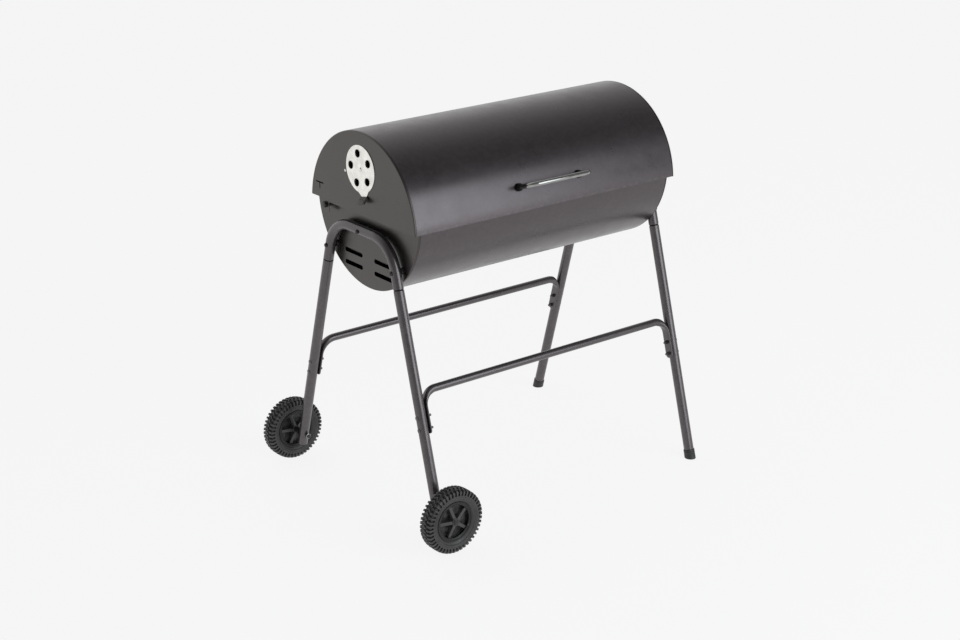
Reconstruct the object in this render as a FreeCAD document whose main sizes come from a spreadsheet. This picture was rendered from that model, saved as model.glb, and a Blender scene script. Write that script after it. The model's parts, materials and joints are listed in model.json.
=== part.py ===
import FreeCAD, Part
import Sketcher
import os

# Barrel charcoal grill: a hinged half-drum lid over a half-drum fire bowl on two arch legs.
#
# Millimetres.  +X runs along the barrel towards the two feet, -X towards the two wheels.
# -Y is the front, where the lid handle is.  +Z is up and the floor is z = 0.
# Every piece is drawn about the middle of the barrel, then shifted along X, so that
# the origin lies under the centre of the whole grill's box.

V = FreeCAD.Vector
doc = FreeCAD.newDocument("barrel_charcoal_grill")
sheet = doc.addObject("Spreadsheet::Sheet", "dims")

# ---------------------------------------------------------------- driving dimensions
DIMENSIONS = {
    # lid: a sheet-steel half drum with flat end plates
    "lid_length": 800,
    "lid_radius": 213,
    "lid_centre": 725,
    "lid_edge": 737,
    "lid_rear_edge": 746,
    "lid_rear_corner": 742,
    "plate": 1,
    # fire bowl: the lower half drum, a little smaller than the lid
    "bowl_length": 768,
    "bowl_radius": 208,
    "bowl_centre": 761,
    "bowl_rim": 749,
    # air slots in the bowl's end plates
    "slot_offset": 60.5,
    "slot_length": 73,
    "slot_width": 11,
    "slot_upper": 628,
    "slot_lower": 597,
    # lid hinge
    "hinge_back": 153,
    "hinge_level": 728,
    "hinge_shank": 4,
    "hinge_fit": 0.05,
    "lug_front": 137,
    "lug_back": 169,
    "lug_bottom": 711,
    "hinge_head": 9,
    "hinge_nut": 7.5,
    "hinge_head_high": 5.3,
    "hinge_nut_high": 6.5,
    "hinge_spacer": 7,
    "gap": 0.3,
    # stop slots pressed into the lid's end plates
    "stop_slot_level": 777,
    "stop_slot_back": 175,
    "stop_slot_length": 31,
    "stop_slot_width": 3,
    "stop_slot_drop": 14,
    # vent damper on the left end plate
    "vent_level": 849,
    "damper_radius": 57.5,
    "damper_thick": 1.2,
    "vent_hole": 10,
    "vent_circle": 37.5,
    "vent_turn": 4.7,
    "tab_reach": 68,
    "tab_turn": 13,
    "tab_root": 10,
    "tab_root_half": 26,
    "tab_tip_half": 7,
    "grip_long": 20,
    "grip_wide": 27,
    "grip_high": 6,
    "grip_droop": 45,
    "grip_out": 11,
    "grip_drop": 14,
    "grip_round": 2,
    "rivet": 3,
    "rivet_head": 5,
    "rivet_head_high": 1.8,
    "stop_screw_back": 62,
    "stop_screw_down": 16,
    "stop_screw_head": 3.6,
    "stop_screw_high": 2.6,
    # handle
    "handle_half": 92,
    "handle_rod": 6,
    "handle_stand": 58,
    "handle_bend": 28,
    "handle_rise": 19.3,
    "collar_radius": 9.5,
    "collar_thick": 12,
    "collar_root": 4,
    "handle_screw_deep": 18,
    "handle_drill": 20,
    # arch legs
    "leg_plane": 401,
    "leg_tube": 12.7,
    "leg_wall": 1.2,
    "arch_top": 700,
    "arch_flat": 51,
    "arch_bend": 85,
    "splay": 15.5,
    "arch_joint": 593,
    "spigot": 35,
    "spigot_root": 3,
    "spigot_fit": 0.1,
    "wheel_leg_end": 52,
    "cap_radius": 14.5,
    "cap_length": 22,
    "cap_floor": 4,
    "plug_length": 14,
    "plug_flange": 2.5,
    "arch_bolt_level": 632,
    "arch_spacer": 8,
    # stretchers
    "rail_tube": 9.5,
    "rail_level": 357,
    "rail_reach": 378.5,
    "rail_bend": 38,
    "rail_collar": 0.3,
    "rail_flat_start": 48,
    "rail_end": 101,
    "rail_flat_thick": 5,
    "rail_flat_wide": 25,
    "rail_bolt_first": 59,
    "rail_bolt_second": 89,
    "rail_head_high": 1,
    # bolts
    "bolt": 3,
    "bolt_head": 5.6,
    "bolt_head_high": 4.5,
    "nut": 5.6,
    "nut_high": 5,
    "hole_room": 0.1,
    "snug": 0.02,
    "seat_gap": 0.05,
    "bolt_spare": 2,
    "rail_bolt_spare": 5,
    "overlap": 1,
    "drill_in": 5,
    # wheels
    "wheel_radius": 80,
    "wheel_width": 42,
    "tyre_foot_half": 15.1,
    "tyre_bead_half": 18.9,
    "tyre_shoulder_half": 20.4,
    "tyre_edge_half": 17.4,
    "tyre_crown_half": 12.6,
    "tyre_bead": 5,
    "tyre_bulge": 14,
    "tyre_shoulder": 8,
    "tyre_edge": 2,
    "wheel_track": 340,
    "rim_radius": 50,
    "rim_wall": 4,
    "rim_width": 33,
    "web": 4,
    "hub_radius": 12,
    "hub_length": 37,
    "hub_taper": 2,
    "spoke_thick": 5,
    "spoke_width": 24,
    "axle": 5,
    "axle_fit": 0.05,
    "axle_head": 8.5,
    "axle_head_high": 2,
    "axle_nut_high": 7,
    # grates and the ledges that carry the cooking grates
    "grate_level": 731,
    "grate_half_depth": 194,
    "grate_half_length": 186,
    "grate_pitch": 15.5,
    "grate_wire": 2,
    "grate_rod": 3,
    "ledge_depth": 18,
    "ledge_drop": 14,
    "ledge_spare": 10,
    "wire_sink": 0.8,
    "grate_apart": 1,
    "ledge_half_length": 372,
    "coal_level": 626,
    "coal_half_depth": 155,
    "coal_pitch": 26,
    "coal_wire": 3,
}
for row, (alias, number) in enumerate(DIMENSIONS.items(), start=1):
    sheet.set(f"A{row}", alias)
    sheet.set(f"B{row}", str(number))
    sheet.setAlias(f"B{row}", alias)
doc.recompute()

# sizes worked out from the driving dimensions
LID_HALF = "(dims.lid_length / 2)"
BOWL_HALF = "(dims.bowl_length / 2)"
LID_INSIDE = "(dims.lid_radius - dims.plate)"
BOWL_INSIDE = "(dims.bowl_radius - dims.plate)"
LEG_OUTSIDE = "(dims.leg_plane + dims.leg_tube)"
LEG_INSIDE = "(dims.leg_plane - dims.leg_tube)"
LEG_BORE = "(dims.leg_tube - dims.leg_wall)"
TANGENT_Y = "(dims.arch_flat + dims.arch_bend * cos(dims.splay))"
TANGENT_Z = "(dims.arch_top - dims.arch_bend + dims.arch_bend * sin(dims.splay))"
LEG_FOOT = f"({TANGENT_Y} + {TANGENT_Z} * tan(dims.splay))"
RAIL_OUT = f"({LEG_FOOT} - dims.rail_level * tan(dims.splay))"
ARCH_BOLT_OUT = f"({LEG_FOOT} - dims.arch_bolt_level * tan(dims.splay))"
AXLE_LEG_OUT = f"({LEG_FOOT} - dims.wheel_radius * tan(dims.splay))"
BOLT_BORE = "(dims.bolt + dims.hole_room)"
STOP_SCREW_LEVEL = "(dims.vent_level - dims.stop_screw_down)"
FRAME_SHIFT = "((dims.wheel_radius - dims.leg_tube - dims.bolt_head_high) / 2)"
BELOW_FLOOR = "(0 - dims.cap_length)"
CUTTER = 1000
ZERO = 1e-9
VENT_HOLES = 5
RIBS = 5

ALONG_X = FreeCAD.Rotation(V(0, 1, 0), 90)
ALONG_Y = FreeCAD.Rotation(V(1, 0, 0), -90)
UPRIGHT = FreeCAD.Rotation()

nodes = []


# ---------------------------------------------------------------- helpers
def value(expression):
    """The number that an expression of the sheet's cells comes to."""
    if not isinstance(expression, str):
        return float(expression)
    result = sheet.evalExpression(expression)
    return float(getattr(result, "Value", result))


def bind(thing, prop, size):
    """Set a size: a number stays a number, a text is bound to the sheet."""
    if isinstance(size, str):
        thing.setExpression(prop, size)
    else:
        thing.setExpression(prop, str(size))


def place(thing, x=0, y=0, z=0, rotation=UPRIGHT):
    thing.Placement = FreeCAD.Placement(V(0, 0, 0), rotation)
    for axis, size in (("x", x), ("y", y), ("z", z)):
        bind(thing, f"Placement.Base.{axis}", size)
    return thing


def lean(thing, axis, angle, x=0, y=0, z=0):
    """Place a thing turned about an axis by an angle that is bound to the sheet."""
    place(thing, x, y, z, FreeCAD.Rotation(axis, value(angle)))
    bind(thing, "Placement.Rotation.Angle", angle)
    return thing


def cylinder(name, radius, height, x=0, y=0, z=0, rotation=UPRIGHT):
    thing = doc.addObject("Part::Cylinder", name)
    bind(thing, "Radius", radius)
    bind(thing, "Height", height)
    return place(thing, x, y, z, rotation)


def box(name, length, width, height, x=0, y=0, z=0, rotation=UPRIGHT):
    thing = doc.addObject("Part::Box", name)
    bind(thing, "Length", length)
    bind(thing, "Width", width)
    bind(thing, "Height", height)
    return place(thing, x, y, z, rotation)


def bend(name, bend_radius, tube_radius, angle, x, y, z, start, towards):
    """A piece of a torus that starts on the side start and turns towards towards."""
    thing = doc.addObject("Part::Torus", name)
    bind(thing, "Radius1", bend_radius)
    bind(thing, "Radius2", tube_radius)
    bind(thing, "Angle3", angle)
    turn = FreeCAD.Rotation(start, towards, start.cross(towards), "XYZ")
    return place(thing, x, y, z, turn)


def hexagon(name, radius, height, x=0, y=0, z=0, rotation=UPRIGHT):
    thing = doc.addObject("Part::Prism", name)
    thing.Polygon = 6
    bind(thing, "Circumradius", radius)
    bind(thing, "Height", height)
    return place(thing, x, y, z, rotation)


def fuse(name, things):
    if len(things) == 1:
        return things[0]
    thing = doc.addObject("Part::MultiFuse", name)
    thing.Shapes = things
    thing.Refine = True
    return thing


def cut(name, base, tools):
    thing = doc.addObject("Part::Cut", name)
    thing.Base = base
    thing.Tool = fuse(f"{name}_tools", tools)
    return thing


def common(name, things):
    thing = doc.addObject("Part::MultiCommon", name)
    thing.Shapes = things
    return thing


def node(label, things):
    """Declare a finished sub-part: one piece, or a group of separate solids."""
    thing = doc.addObject("Part::Compound", f"{label}_node")
    thing.Links = things
    thing.Label = label
    place(thing, x=FRAME_SHIFT)
    nodes.append(thing)
    return thing


def body_node(body, label):
    body.Label = label
    nodes.append(body)
    return body


def new_body(name, x=0, y=0, z=0, rotation=UPRIGHT):
    return place(doc.addObject("PartDesign::Body", name), x, y, z, rotation)


def new_sketch(body, name, role):
    """A sketch on one of the body's own origin planes."""
    sketch = body.newObject("Sketcher::SketchObject", name)
    plane = [f for f in body.Origin.OriginFeatures if f.Role == role][0]
    sketch.AttachmentSupport = [(plane, "")]
    sketch.MapMode = "FlatFace"
    return sketch


def pin_point(sketch, geometry, vertex, x, y):
    """Hold a sketch point at bound distances from the sketch's origin."""
    for kind, expression, axis in (("DistanceX", x, -2), ("DistanceY", y, -1)):
        size = value(expression)
        if abs(size) < ZERO:
            sketch.addConstraint(Sketcher.Constraint("PointOnObject", geometry, vertex, axis))
        else:
            rule = Sketcher.Constraint(kind, -1, 1, geometry, vertex, size)
            index = sketch.addConstraint(rule)
            if isinstance(expression, str):
                sketch.setExpression(f"Constraints[{index}]", expression)


def outline(sketch, points):
    """A closed outline of straight sides through bound points."""
    places = [V(value(x), value(y), 0) for x, y in points]
    count = len(points)
    first = sketch.GeometryCount
    for i in range(count):
        sketch.addGeometry(Part.LineSegment(places[i], places[(i + 1) % count]))
    for i in range(count):
        after = first + (i + 1) % count
        sketch.addConstraint(Sketcher.Constraint("Coincident", first + i, 2, after, 1))
        pin_point(sketch, first + i, 1, *points[i])


def circle(sketch, radius, x=0, y=0):
    geometry = sketch.addGeometry(Part.Circle(V(value(x), value(y), 0), V(0, 0, 1), value(radius)))
    index = sketch.addConstraint(Sketcher.Constraint("Radius", geometry, value(radius)))
    sketch.setExpression(f"Constraints[{index}]", radius)
    if abs(value(x)) < ZERO and abs(value(y)) < ZERO:
        sketch.addConstraint(Sketcher.Constraint("Coincident", geometry, 3, -1, 1))
    else:
        pin_point(sketch, geometry, 3, x, y)


def pad(body, sketch, length, name, midplane=False):
    feature = body.newObject("PartDesign::Pad", name)
    feature.Profile = sketch
    bind(feature, "Length", length)
    feature.Midplane = midplane
    return feature


def sides():
    """The two ends of the barrel: name, sign along X."""
    return (("left", -1), ("right", 1))


def rows():
    """The front and the rear: name, sign along Y."""
    return (("front", -1), ("rear", 1))


def along_x_from(name, shape, radius, near, far, sign, y, z):
    """A round or hexagonal bar along X from near to far, both measured outwards."""
    low = near if sign > 0 else f"(0 - {far})"
    return shape(name, radius, f"({far} - {near})", low, y, z, ALONG_X)


# ---------------------------------------------------------------- lid
def lid_shell():
    length = f"({LID_HALF} - dims.plate) * 2"
    start = f"0 - ({LID_HALF} - dims.plate)"
    outside = cylinder("lid_outside", "dims.lid_radius", length, start, 0, "dims.lid_centre", ALONG_X)
    inside = cylinder("lid_inside", LID_INSIDE, length, start, 0, "dims.lid_centre", ALONG_X)
    front = box("lid_below_front", CUTTER, CUTTER / 2, "dims.lid_edge", -CUTTER / 2, -CUTTER / 2, 0)
    rear = box("lid_below_rear", CUTTER, CUTTER / 2, "dims.lid_rear_edge", -CUTTER / 2, 0, 0)
    tools = [inside, front, rear]
    for side, sign in sides():
        tools.append(handle_bar(f"lid_handle_hole_{side}", BOLT_BORE, sign, "0 - dims.handle_drill",
                                "dims.handle_drill"))
    node("lid_shell", [cut("lid_shell_solid", outside, tools)])


def lid_end(side, sign):
    inner = f"({LID_HALF} - dims.plate)"
    disc = along_x_from(f"lid_end_{side}_disc", cylinder, "dims.lid_radius", inner, LID_HALF, sign, 0,
                        "dims.lid_centre")
    wide = CUTTER / 2
    below = [
        box(f"lid_end_{side}_front_cut", CUTTER, f"{wide} + dims.lug_front", "dims.lid_edge", -wide, -wide,
            0),
        box(f"lid_end_{side}_lug_cut", CUTTER, CUTTER, "dims.lug_bottom", -wide, -wide, 0),
        box(f"lid_end_{side}_rear_cut", CUTTER, wide, "dims.lid_rear_corner", -wide, "dims.lug_back", 0),
    ]
    reach = f"({LID_HALF} + dims.overlap)"
    root = f"({LID_HALF} - dims.drill_in)"
    hinge_bore = "(dims.hinge_shank + dims.hinge_fit)"
    holes = [
        along_x_from(f"lid_end_{side}_hinge_hole", cylinder, hinge_bore, root, reach, sign,
                     "dims.hinge_back", "dims.hinge_level"),
        box(f"lid_end_{side}_stop_slot", CUTTER, "dims.stop_slot_length", "dims.stop_slot_width", -wide,
            "dims.stop_slot_back - dims.stop_slot_length / 2", "dims.stop_slot_level"),
        box(f"lid_end_{side}_stop_notch", CUTTER, "dims.stop_slot_width", "dims.stop_slot_drop", -wide,
            "dims.stop_slot_back - dims.stop_slot_width / 2",
            "dims.stop_slot_level - dims.stop_slot_drop - dims.stop_slot_width"),
    ]
    if side == "left":
        for turn in range(VENT_HOLES):
            angle = f"(dims.vent_turn + {360 * turn / VENT_HOLES})"
            holes.append(along_x_from(f"lid_vent_hole_{turn}", cylinder, "dims.vent_hole", root, reach, sign,
                                      f"dims.vent_circle * cos({angle})",
                                      f"dims.vent_level + dims.vent_circle * sin({angle})"))
        holes.append(along_x_from("lid_rivet_hole", cylinder, "dims.rivet + dims.hole_room", root, reach,
                                  sign, 0, "dims.vent_level"))
        holes.append(along_x_from("lid_stop_hole", cylinder, "dims.rivet / 2 + dims.hole_room", root, reach,
                                  sign, "dims.stop_screw_back", STOP_SCREW_LEVEL))
    node(f"lid_end_{side}", [cut(f"lid_end_{side}_solid", disc, below + holes)])


# ---------------------------------------------------------------- handle
HANDLE_LEAN = "(90 - dims.handle_rise)"


def handle_bar(name, radius, sign, start, end):
    """A round bar square to the lid's skin, at one prong; start and end count from the skin."""
    bar = doc.addObject("Part::Cylinder", name)
    bind(bar, "Radius", radius)
    bind(bar, "Height", f"({end} - ({start}))")
    reach = f"(dims.lid_radius + ({start}))"
    return lean(bar, V(1, 0, 0), HANDLE_LEAN, f"{sign} * dims.handle_half",
                f"0 - {reach} * cos(dims.handle_rise)", f"dims.lid_centre + {reach} * sin(dims.handle_rise)")


def lid_handle():
    straight = "(dims.handle_half - dims.handle_bend)"
    out = "(dims.lid_radius + dims.handle_stand)"
    corner = "(dims.lid_radius + dims.handle_stand - dims.handle_bend)"
    pieces = [cylinder("handle_grip", "dims.handle_rod", f"2 * {straight}", f"0 - {straight}",
                       f"0 - {out}", 0, ALONG_X)]
    drills = []
    for side, sign in sides():
        prong_start = "(dims.lid_radius + dims.collar_thick)"
        pieces.append(cylinder(f"handle_prong_{side}", "dims.handle_rod", f"({corner} - {prong_start})",
                               f"{sign} * dims.handle_half", f"0 - {corner}", 0, ALONG_Y))
        pieces.append(bend(f"handle_corner_{side}", "dims.handle_bend", "dims.handle_rod", 90,
                           f"{sign} * {straight}", f"0 - {corner}", 0, V(0, -1, 0), V(sign, 0, 0)))
        drills.append(cylinder(f"handle_drill_{side}", BOLT_BORE, "dims.handle_drill + dims.overlap",
                               f"{sign} * dims.handle_half", f"0 - {prong_start} - dims.handle_drill", 0,
                               ALONG_Y))
    rod = cut("lid_handle_solid", fuse("handle_rod_solid", pieces), drills)
    lean(rod, V(-1, 0, 0), "dims.handle_rise", 0, 0, "dims.lid_centre")
    node("lid_handle", [rod])

    collars = []
    screws = []
    for side, sign in sides():
        ring = handle_bar(f"collar_{side}", "dims.collar_radius", sign, "0 - dims.collar_root",
                          "dims.collar_thick")
        bore = handle_bar(f"collar_{side}_bore", BOLT_BORE, sign, "0 - dims.drill_in",
                          "dims.collar_thick + dims.overlap")
        skin = cylinder(f"collar_{side}_skin", "dims.lid_radius", CUTTER, -CUTTER / 2, 0, "dims.lid_centre",
                        ALONG_X)
        collars.append(cut(f"collar_{side}_solid", ring, [bore, skin]))
        under = "(0 - dims.plate - 4 * dims.seat_gap)"
        shank = handle_bar(f"handle_screw_{side}_shank", "dims.bolt", sign, f"{under} - dims.bolt_spare",
                           "dims.collar_thick + dims.handle_screw_deep")
        head = handle_bar(f"handle_screw_{side}_head", "dims.bolt_head", sign,
                          f"{under} - dims.bolt_head_high", under)
        screws.append(fuse(f"handle_screw_{side}", [shank, head]))
    node("handle_collars", collars)
    node("handle_screws", screws)


# ---------------------------------------------------------------- vent damper
def vent_damper():
    """A bright disc with a pointed tab, turning on a rivet over the lid's vent holes."""
    face = f"(0 - {LID_HALF} - dims.gap - dims.damper_thick + {FRAME_SHIFT})"
    body = new_body("damper_body", face, 0, "dims.vent_level")
    disc = new_sketch(body, "damper_outline", "YZ_Plane")
    circle(disc, "dims.damper_radius")
    circle(disc, "dims.rivet + dims.hinge_fit")
    pad(body, disc, "dims.damper_thick", "damper_plate")
    tab = new_sketch(body, "damper_tab_outline", "YZ_Plane")
    angle = "(dims.tab_turn)"
    root = "(dims.damper_radius - dims.tab_root)"
    corners = []
    for along, across in ((root, "(0 - dims.tab_root_half)"), ("dims.tab_reach", "(0 - dims.tab_tip_half)"),
                          ("dims.tab_reach", "dims.tab_tip_half"), (root, "(dims.tab_root_half)")):
        corners.append((f"0 - {along} * sin({angle}) + {across} * cos({angle})",
                        f"0 - {along} * cos({angle}) - {across} * sin({angle})"))
    outline(tab, corners)
    pad(body, tab, "dims.damper_thick", "damper_tab")
    hole = new_sketch(body, "damper_hole_outline", "YZ_Plane")
    circle(hole, "dims.vent_hole", "dims.vent_circle * cos(dims.vent_turn)",
           "dims.vent_circle * sin(dims.vent_turn)")
    pocket = body.newObject("PartDesign::Pocket", "damper_hole")
    pocket.Profile = hole
    pocket.Type = "ThroughAll"
    pocket.Midplane = True
    ring = body.newObject("PartDesign::PolarPattern", "damper_holes")
    ring.Originals = [pocket]
    ring.Axis = ([f for f in body.Origin.OriginFeatures if f.Role == "X_Axis"][0], [""])
    ring.Angle = 360
    ring.Occurrences = VENT_HOLES
    body.Tip = ring
    body_node(body, "vent_damper")


def vent_grip():
    """The black grip over the damper's bent-out tab, drooping outwards."""
    face = f"0 - {LID_HALF} - dims.gap - dims.damper_thick"
    block = box("grip_block", "dims.grip_long", "dims.grip_wide", "dims.grip_high")
    lean(block, V(0, -1, 0), "dims.grip_droop", "0 - dims.grip_out", "0 - dims.grip_wide / 2",
         "0 - dims.tab_reach - dims.grip_drop")
    rounded = doc.addObject("Part::Fillet", "grip_rounded")
    doc.recompute()
    rounded.Base = block
    corner = value("dims.grip_round")
    rounded.Edges = [(index, corner, corner) for index in range(1, len(block.Shape.Edges) + 1)]
    wall = box("grip_wall", CUTTER, CUTTER, CUTTER, 0, -CUTTER / 2, -CUTTER / 2)
    grip = cut("grip_solid", rounded, [wall])
    lean(grip, V(-1, 0, 0), "dims.tab_turn", face, 0, "dims.vent_level")
    node("vent_grip", [grip])


def vent_fixings():
    out = f"({LID_HALF} + 2 * dims.gap + dims.damper_thick)"
    root = f"({LID_HALF} - dims.plate - dims.rivet_head_high)"
    shank = along_x_from("rivet_shank", cylinder, "dims.rivet", root, f"({out} + dims.overlap)", -1, 0,
                         "dims.vent_level")
    head = along_x_from("rivet_head_disc", cylinder, "dims.rivet_head", out,
                        f"({out} + dims.rivet_head_high)", -1, 0, "dims.vent_level")
    tail = along_x_from("rivet_tail", cylinder, "dims.rivet_head", root, f"({LID_HALF} - dims.plate)", -1, 0,
                        "dims.vent_level")
    node("vent_rivet", [fuse("vent_rivet_solid", [shank, head, tail])])
    stem = along_x_from("stop_stem", cylinder, "dims.rivet / 2", f"({LID_HALF} - dims.drill_in)",
                        f"({LID_HALF} + dims.overlap)", -1, "dims.stop_screw_back", STOP_SCREW_LEVEL)
    knob = along_x_from("stop_knob", cylinder, "dims.stop_screw_head", LID_HALF,
                        f"({LID_HALF} + dims.stop_screw_high)", -1, "dims.stop_screw_back",
                        STOP_SCREW_LEVEL)
    node("vent_stop_screw", [fuse("vent_stop_solid", [stem, knob])])


# ---------------------------------------------------------------- fire bowl
def bowl_shell():
    length = f"({BOWL_HALF} - dims.plate) * 2"
    start = f"0 - ({BOWL_HALF} - dims.plate)"
    outside = cylinder("bowl_outside", "dims.bowl_radius", length, start, 0, "dims.bowl_centre", ALONG_X)
    inside = cylinder("bowl_inside", BOWL_INSIDE, length, start, 0, "dims.bowl_centre", ALONG_X)
    above = box("bowl_above", CUTTER, CUTTER, CUTTER, -CUTTER / 2, -CUTTER / 2, "dims.bowl_rim")
    node("bowl_shell", [cut("bowl_shell_solid", outside, [inside, above])])


def bowl_end(side, sign):
    inner = f"({BOWL_HALF} - dims.plate)"
    disc = along_x_from(f"bowl_end_{side}_disc", cylinder, "dims.bowl_radius", inner, BOWL_HALF, sign, 0,
                        "dims.bowl_centre")
    tools = [box(f"bowl_end_{side}_above", CUTTER, CUTTER, CUTTER, -CUTTER / 2, -CUTTER / 2, "dims.bowl_rim")]
    reach = f"({BOWL_HALF} + dims.overlap)"
    root = f"({BOWL_HALF} - dims.drill_in)"
    half = "(dims.slot_length / 2 - dims.slot_width / 2)"
    for row, across in rows():
        for name, level in (("upper", "dims.slot_upper"), ("lower", "dims.slot_lower")):
            tag = f"bowl_slot_{side}_{row}_{name}"
            tools.append(box(f"{tag}_middle", CUTTER, f"2 * {half}", "dims.slot_width", -CUTTER / 2,
                             f"{across} * dims.slot_offset - {half}", f"{level} - dims.slot_width / 2"))
            for end in (-1, 1):
                tools.append(along_x_from(f"{tag}_end", cylinder, "dims.slot_width / 2", root, reach, sign,
                                          f"{across} * dims.slot_offset + {end} * {half}", level))
        tools.append(along_x_from(f"bowl_end_{side}_{row}_hole", cylinder, BOLT_BORE, root, reach, sign,
                                  f"{across} * {ARCH_BOLT_OUT}", "dims.arch_bolt_level"))
    tools.append(along_x_from(f"bowl_end_{side}_top_hole", cylinder, BOLT_BORE, root, reach, sign, 0,
                              "dims.arch_top"))
    tools.append(along_x_from(f"bowl_end_{side}_hinge_hole", cylinder, "dims.hinge_shank + dims.hole_room",
                              root, reach, sign, "dims.hinge_back", "dims.hinge_level"))
    node(f"bowl_end_{side}", [cut(f"bowl_end_{side}_solid", disc, tools)])


def grate_ledge(row, across):
    """An angle strip against the bowl's wall: a curved flange and a flat shelf on top."""
    half = "dims.ledge_half_length"
    top = "(dims.grate_level - dims.grate_rod)"
    skin = f"({BOWL_INSIDE} - dims.seat_gap)"
    deep = "dims.ledge_depth + dims.ledge_spare"
    flange = cylinder(f"ledge_{row}_outside", skin, f"2 * {half}", f"0 - {half}", 0, "dims.bowl_centre",
                      ALONG_X)
    bore = cylinder(f"ledge_{row}_inside", f"{skin} - dims.plate", CUTTER, -CUTTER / 2, 0,
                    "dims.bowl_centre", ALONG_X)
    ring = cut(f"ledge_{row}_ring", flange, [bore])
    full = cylinder(f"ledge_{row}_full", skin, f"2 * {half}", f"0 - {half}", 0, "dims.bowl_centre", ALONG_X)
    edge = f"({BOWL_INSIDE} - dims.ledge_depth)"
    side_y = edge if across > 0 else f"(0 - {BOWL_INSIDE} - dims.ledge_spare)"
    strip = box(f"ledge_{row}_strip", CUTTER, deep, "dims.ledge_drop", -CUTTER / 2, side_y,
                f"{top} - dims.ledge_drop")
    shelf = box(f"ledge_{row}_shelf", CUTTER, deep, "dims.plate", -CUTTER / 2, side_y,
                f"{top} - dims.plate")
    upright = common(f"ledge_{row}_upright", [ring, strip])
    flat = common(f"ledge_{row}_flat", [full, shelf])
    node(f"grate_ledge_{row}", [fuse(f"grate_ledge_{row}_solid", [upright, flat])])


# ---------------------------------------------------------------- grates
def wire_grate(label, sign, level, half_depth, pitch, wire, frame):
    """Half of a grate: a rectangular rod frame with wires across it, welded on top."""
    centre = f"({sign} * (dims.grate_half_length + dims.grate_apart))"
    half = "dims.grate_half_length - dims.grate_rod"
    deep = f"({half_depth} - {frame})"
    pieces = []
    for row, across in rows():
        pieces.append(cylinder(f"{label}_{row}_rod", frame, f"2 * ({half})", f"{centre} - ({half})",
                               f"{across} * {deep}", level, ALONG_X))
        pieces.append(cylinder(f"{label}_{row}_tie", frame, f"2 * ({half})", f"{centre} - ({half})",
                               f"{across} * {deep} / 3", level, ALONG_X))
    for side, end in sides():
        pieces.append(cylinder(f"{label}_{side}_rod", frame, f"2 * {deep}", f"{centre} + {end} * ({half})",
                               f"0 - {deep}", level, ALONG_Y))
        for row, across in rows():
            ball = doc.addObject("Part::Sphere", f"{label}_{side}_{row}_corner")
            bind(ball, "Radius", frame)
            pieces.append(place(ball, f"{centre} + {end} * ({half})", f"{across} * {deep}", level))
    count = int(2 * value(half) // value(pitch))
    for i in range(count):
        offset = (i - (count - 1) / 2)
        pieces.append(cylinder(f"{label}_wire_{i}", wire, f"2 * {deep}", f"{centre} + {offset} * {pitch}",
                               f"0 - {deep}", f"{level} + {frame} + {wire} - dims.wire_sink", ALONG_Y))
    node(label, [fuse(f"{label}_solid", pieces)])


# ---------------------------------------------------------------- legs
def arch(name, sign, tube):
    """The bent top tube of a leg pair as a solid bar of radius tube."""
    x = f"{sign} * dims.leg_plane"
    down = "(90 - dims.splay)"
    pieces = [cylinder(f"{name}_top", tube, "2 * dims.arch_flat", x, "0 - dims.arch_flat", "dims.arch_top",
                       ALONG_Y)]
    for row, across in rows():
        pieces.append(bend(f"{name}_bend_{row}", "dims.arch_bend", tube, down, x,
                           f"{across} * dims.arch_flat", "dims.arch_top - dims.arch_bend", V(0, 0, 1),
                           V(0, across, 0)))
        length = f"(({TANGENT_Z} - dims.arch_joint) / cos(dims.splay))"
        pieces.append(leg_bar(f"{name}_leg_{row}", tube, sign, across, "dims.arch_joint", length))
    return fuse(f"{name}_bar", pieces)


def leg_bar(name, radius, sign, across, level, length):
    """A round bar on a leg's centre line, from the height level upwards."""
    bar = doc.addObject("Part::Cylinder", name)
    bind(bar, "Radius", radius)
    bind(bar, "Height", length)
    return lean(bar, V(across, 0, 0), "dims.splay", f"{sign} * dims.leg_plane",
                f"{across} * ({LEG_FOOT} - ({level}) * tan(dims.splay))", level)


def leg_arch(side, sign):
    shell = cut(f"leg_arch_{side}_tube", arch(f"arch_{side}_outer", sign, "dims.leg_tube"),
                [arch(f"arch_{side}_inner", sign, LEG_BORE)])
    spigots = []
    for row, across in rows():
        low = "(dims.arch_joint - dims.spigot * cos(dims.splay))"
        outer = leg_bar(f"spigot_{side}_{row}", f"{LEG_BORE} - dims.spigot_fit", sign, across, low,
                        "dims.spigot + dims.spigot_root")
        inner = leg_bar(f"spigot_{side}_{row}_bore", f"{LEG_BORE} - dims.spigot_fit - dims.leg_wall", sign,
                        across, f"{low} - dims.drill_in", "2 * dims.spigot")
        lip = leg_bar(f"spigot_{side}_{row}_lip", f"{LEG_BORE} + dims.gap", sign, across, "dims.arch_joint",
                      "dims.spigot_root")
        spigots.append(cut(f"spigot_{side}_{row}_solid", fuse(f"spigot_{side}_{row}_bar", [outer, lip]),
                           [inner]))
    joined = fuse(f"leg_arch_{side}_joined", [shell] + spigots)
    near = f"({LEG_INSIDE} - dims.overlap)"
    far = f"({LEG_OUTSIDE} + dims.overlap)"
    drills = [along_x_from(f"arch_{side}_top_hole", cylinder, BOLT_BORE, near, far, sign, 0, "dims.arch_top")]
    for row, across in rows():
        drills.append(along_x_from(f"arch_{side}_{row}_hole", cylinder, BOLT_BORE, near, far, sign,
                                   f"{across} * {ARCH_BOLT_OUT}", "dims.arch_bolt_level"))
    node(f"leg_arch_{side}", [cut(f"leg_arch_{side}_solid", joined, drills)])


def rail_bolt_place(across, distance):
    """Where a stretcher bolt crosses the leg's centre line, distance below the stretcher."""
    y = f"({across} * ({RAIL_OUT} + {distance} * sin(dims.splay)))"
    z = f"(dims.rail_level - {distance} * cos(dims.splay))"
    return y, z


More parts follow.
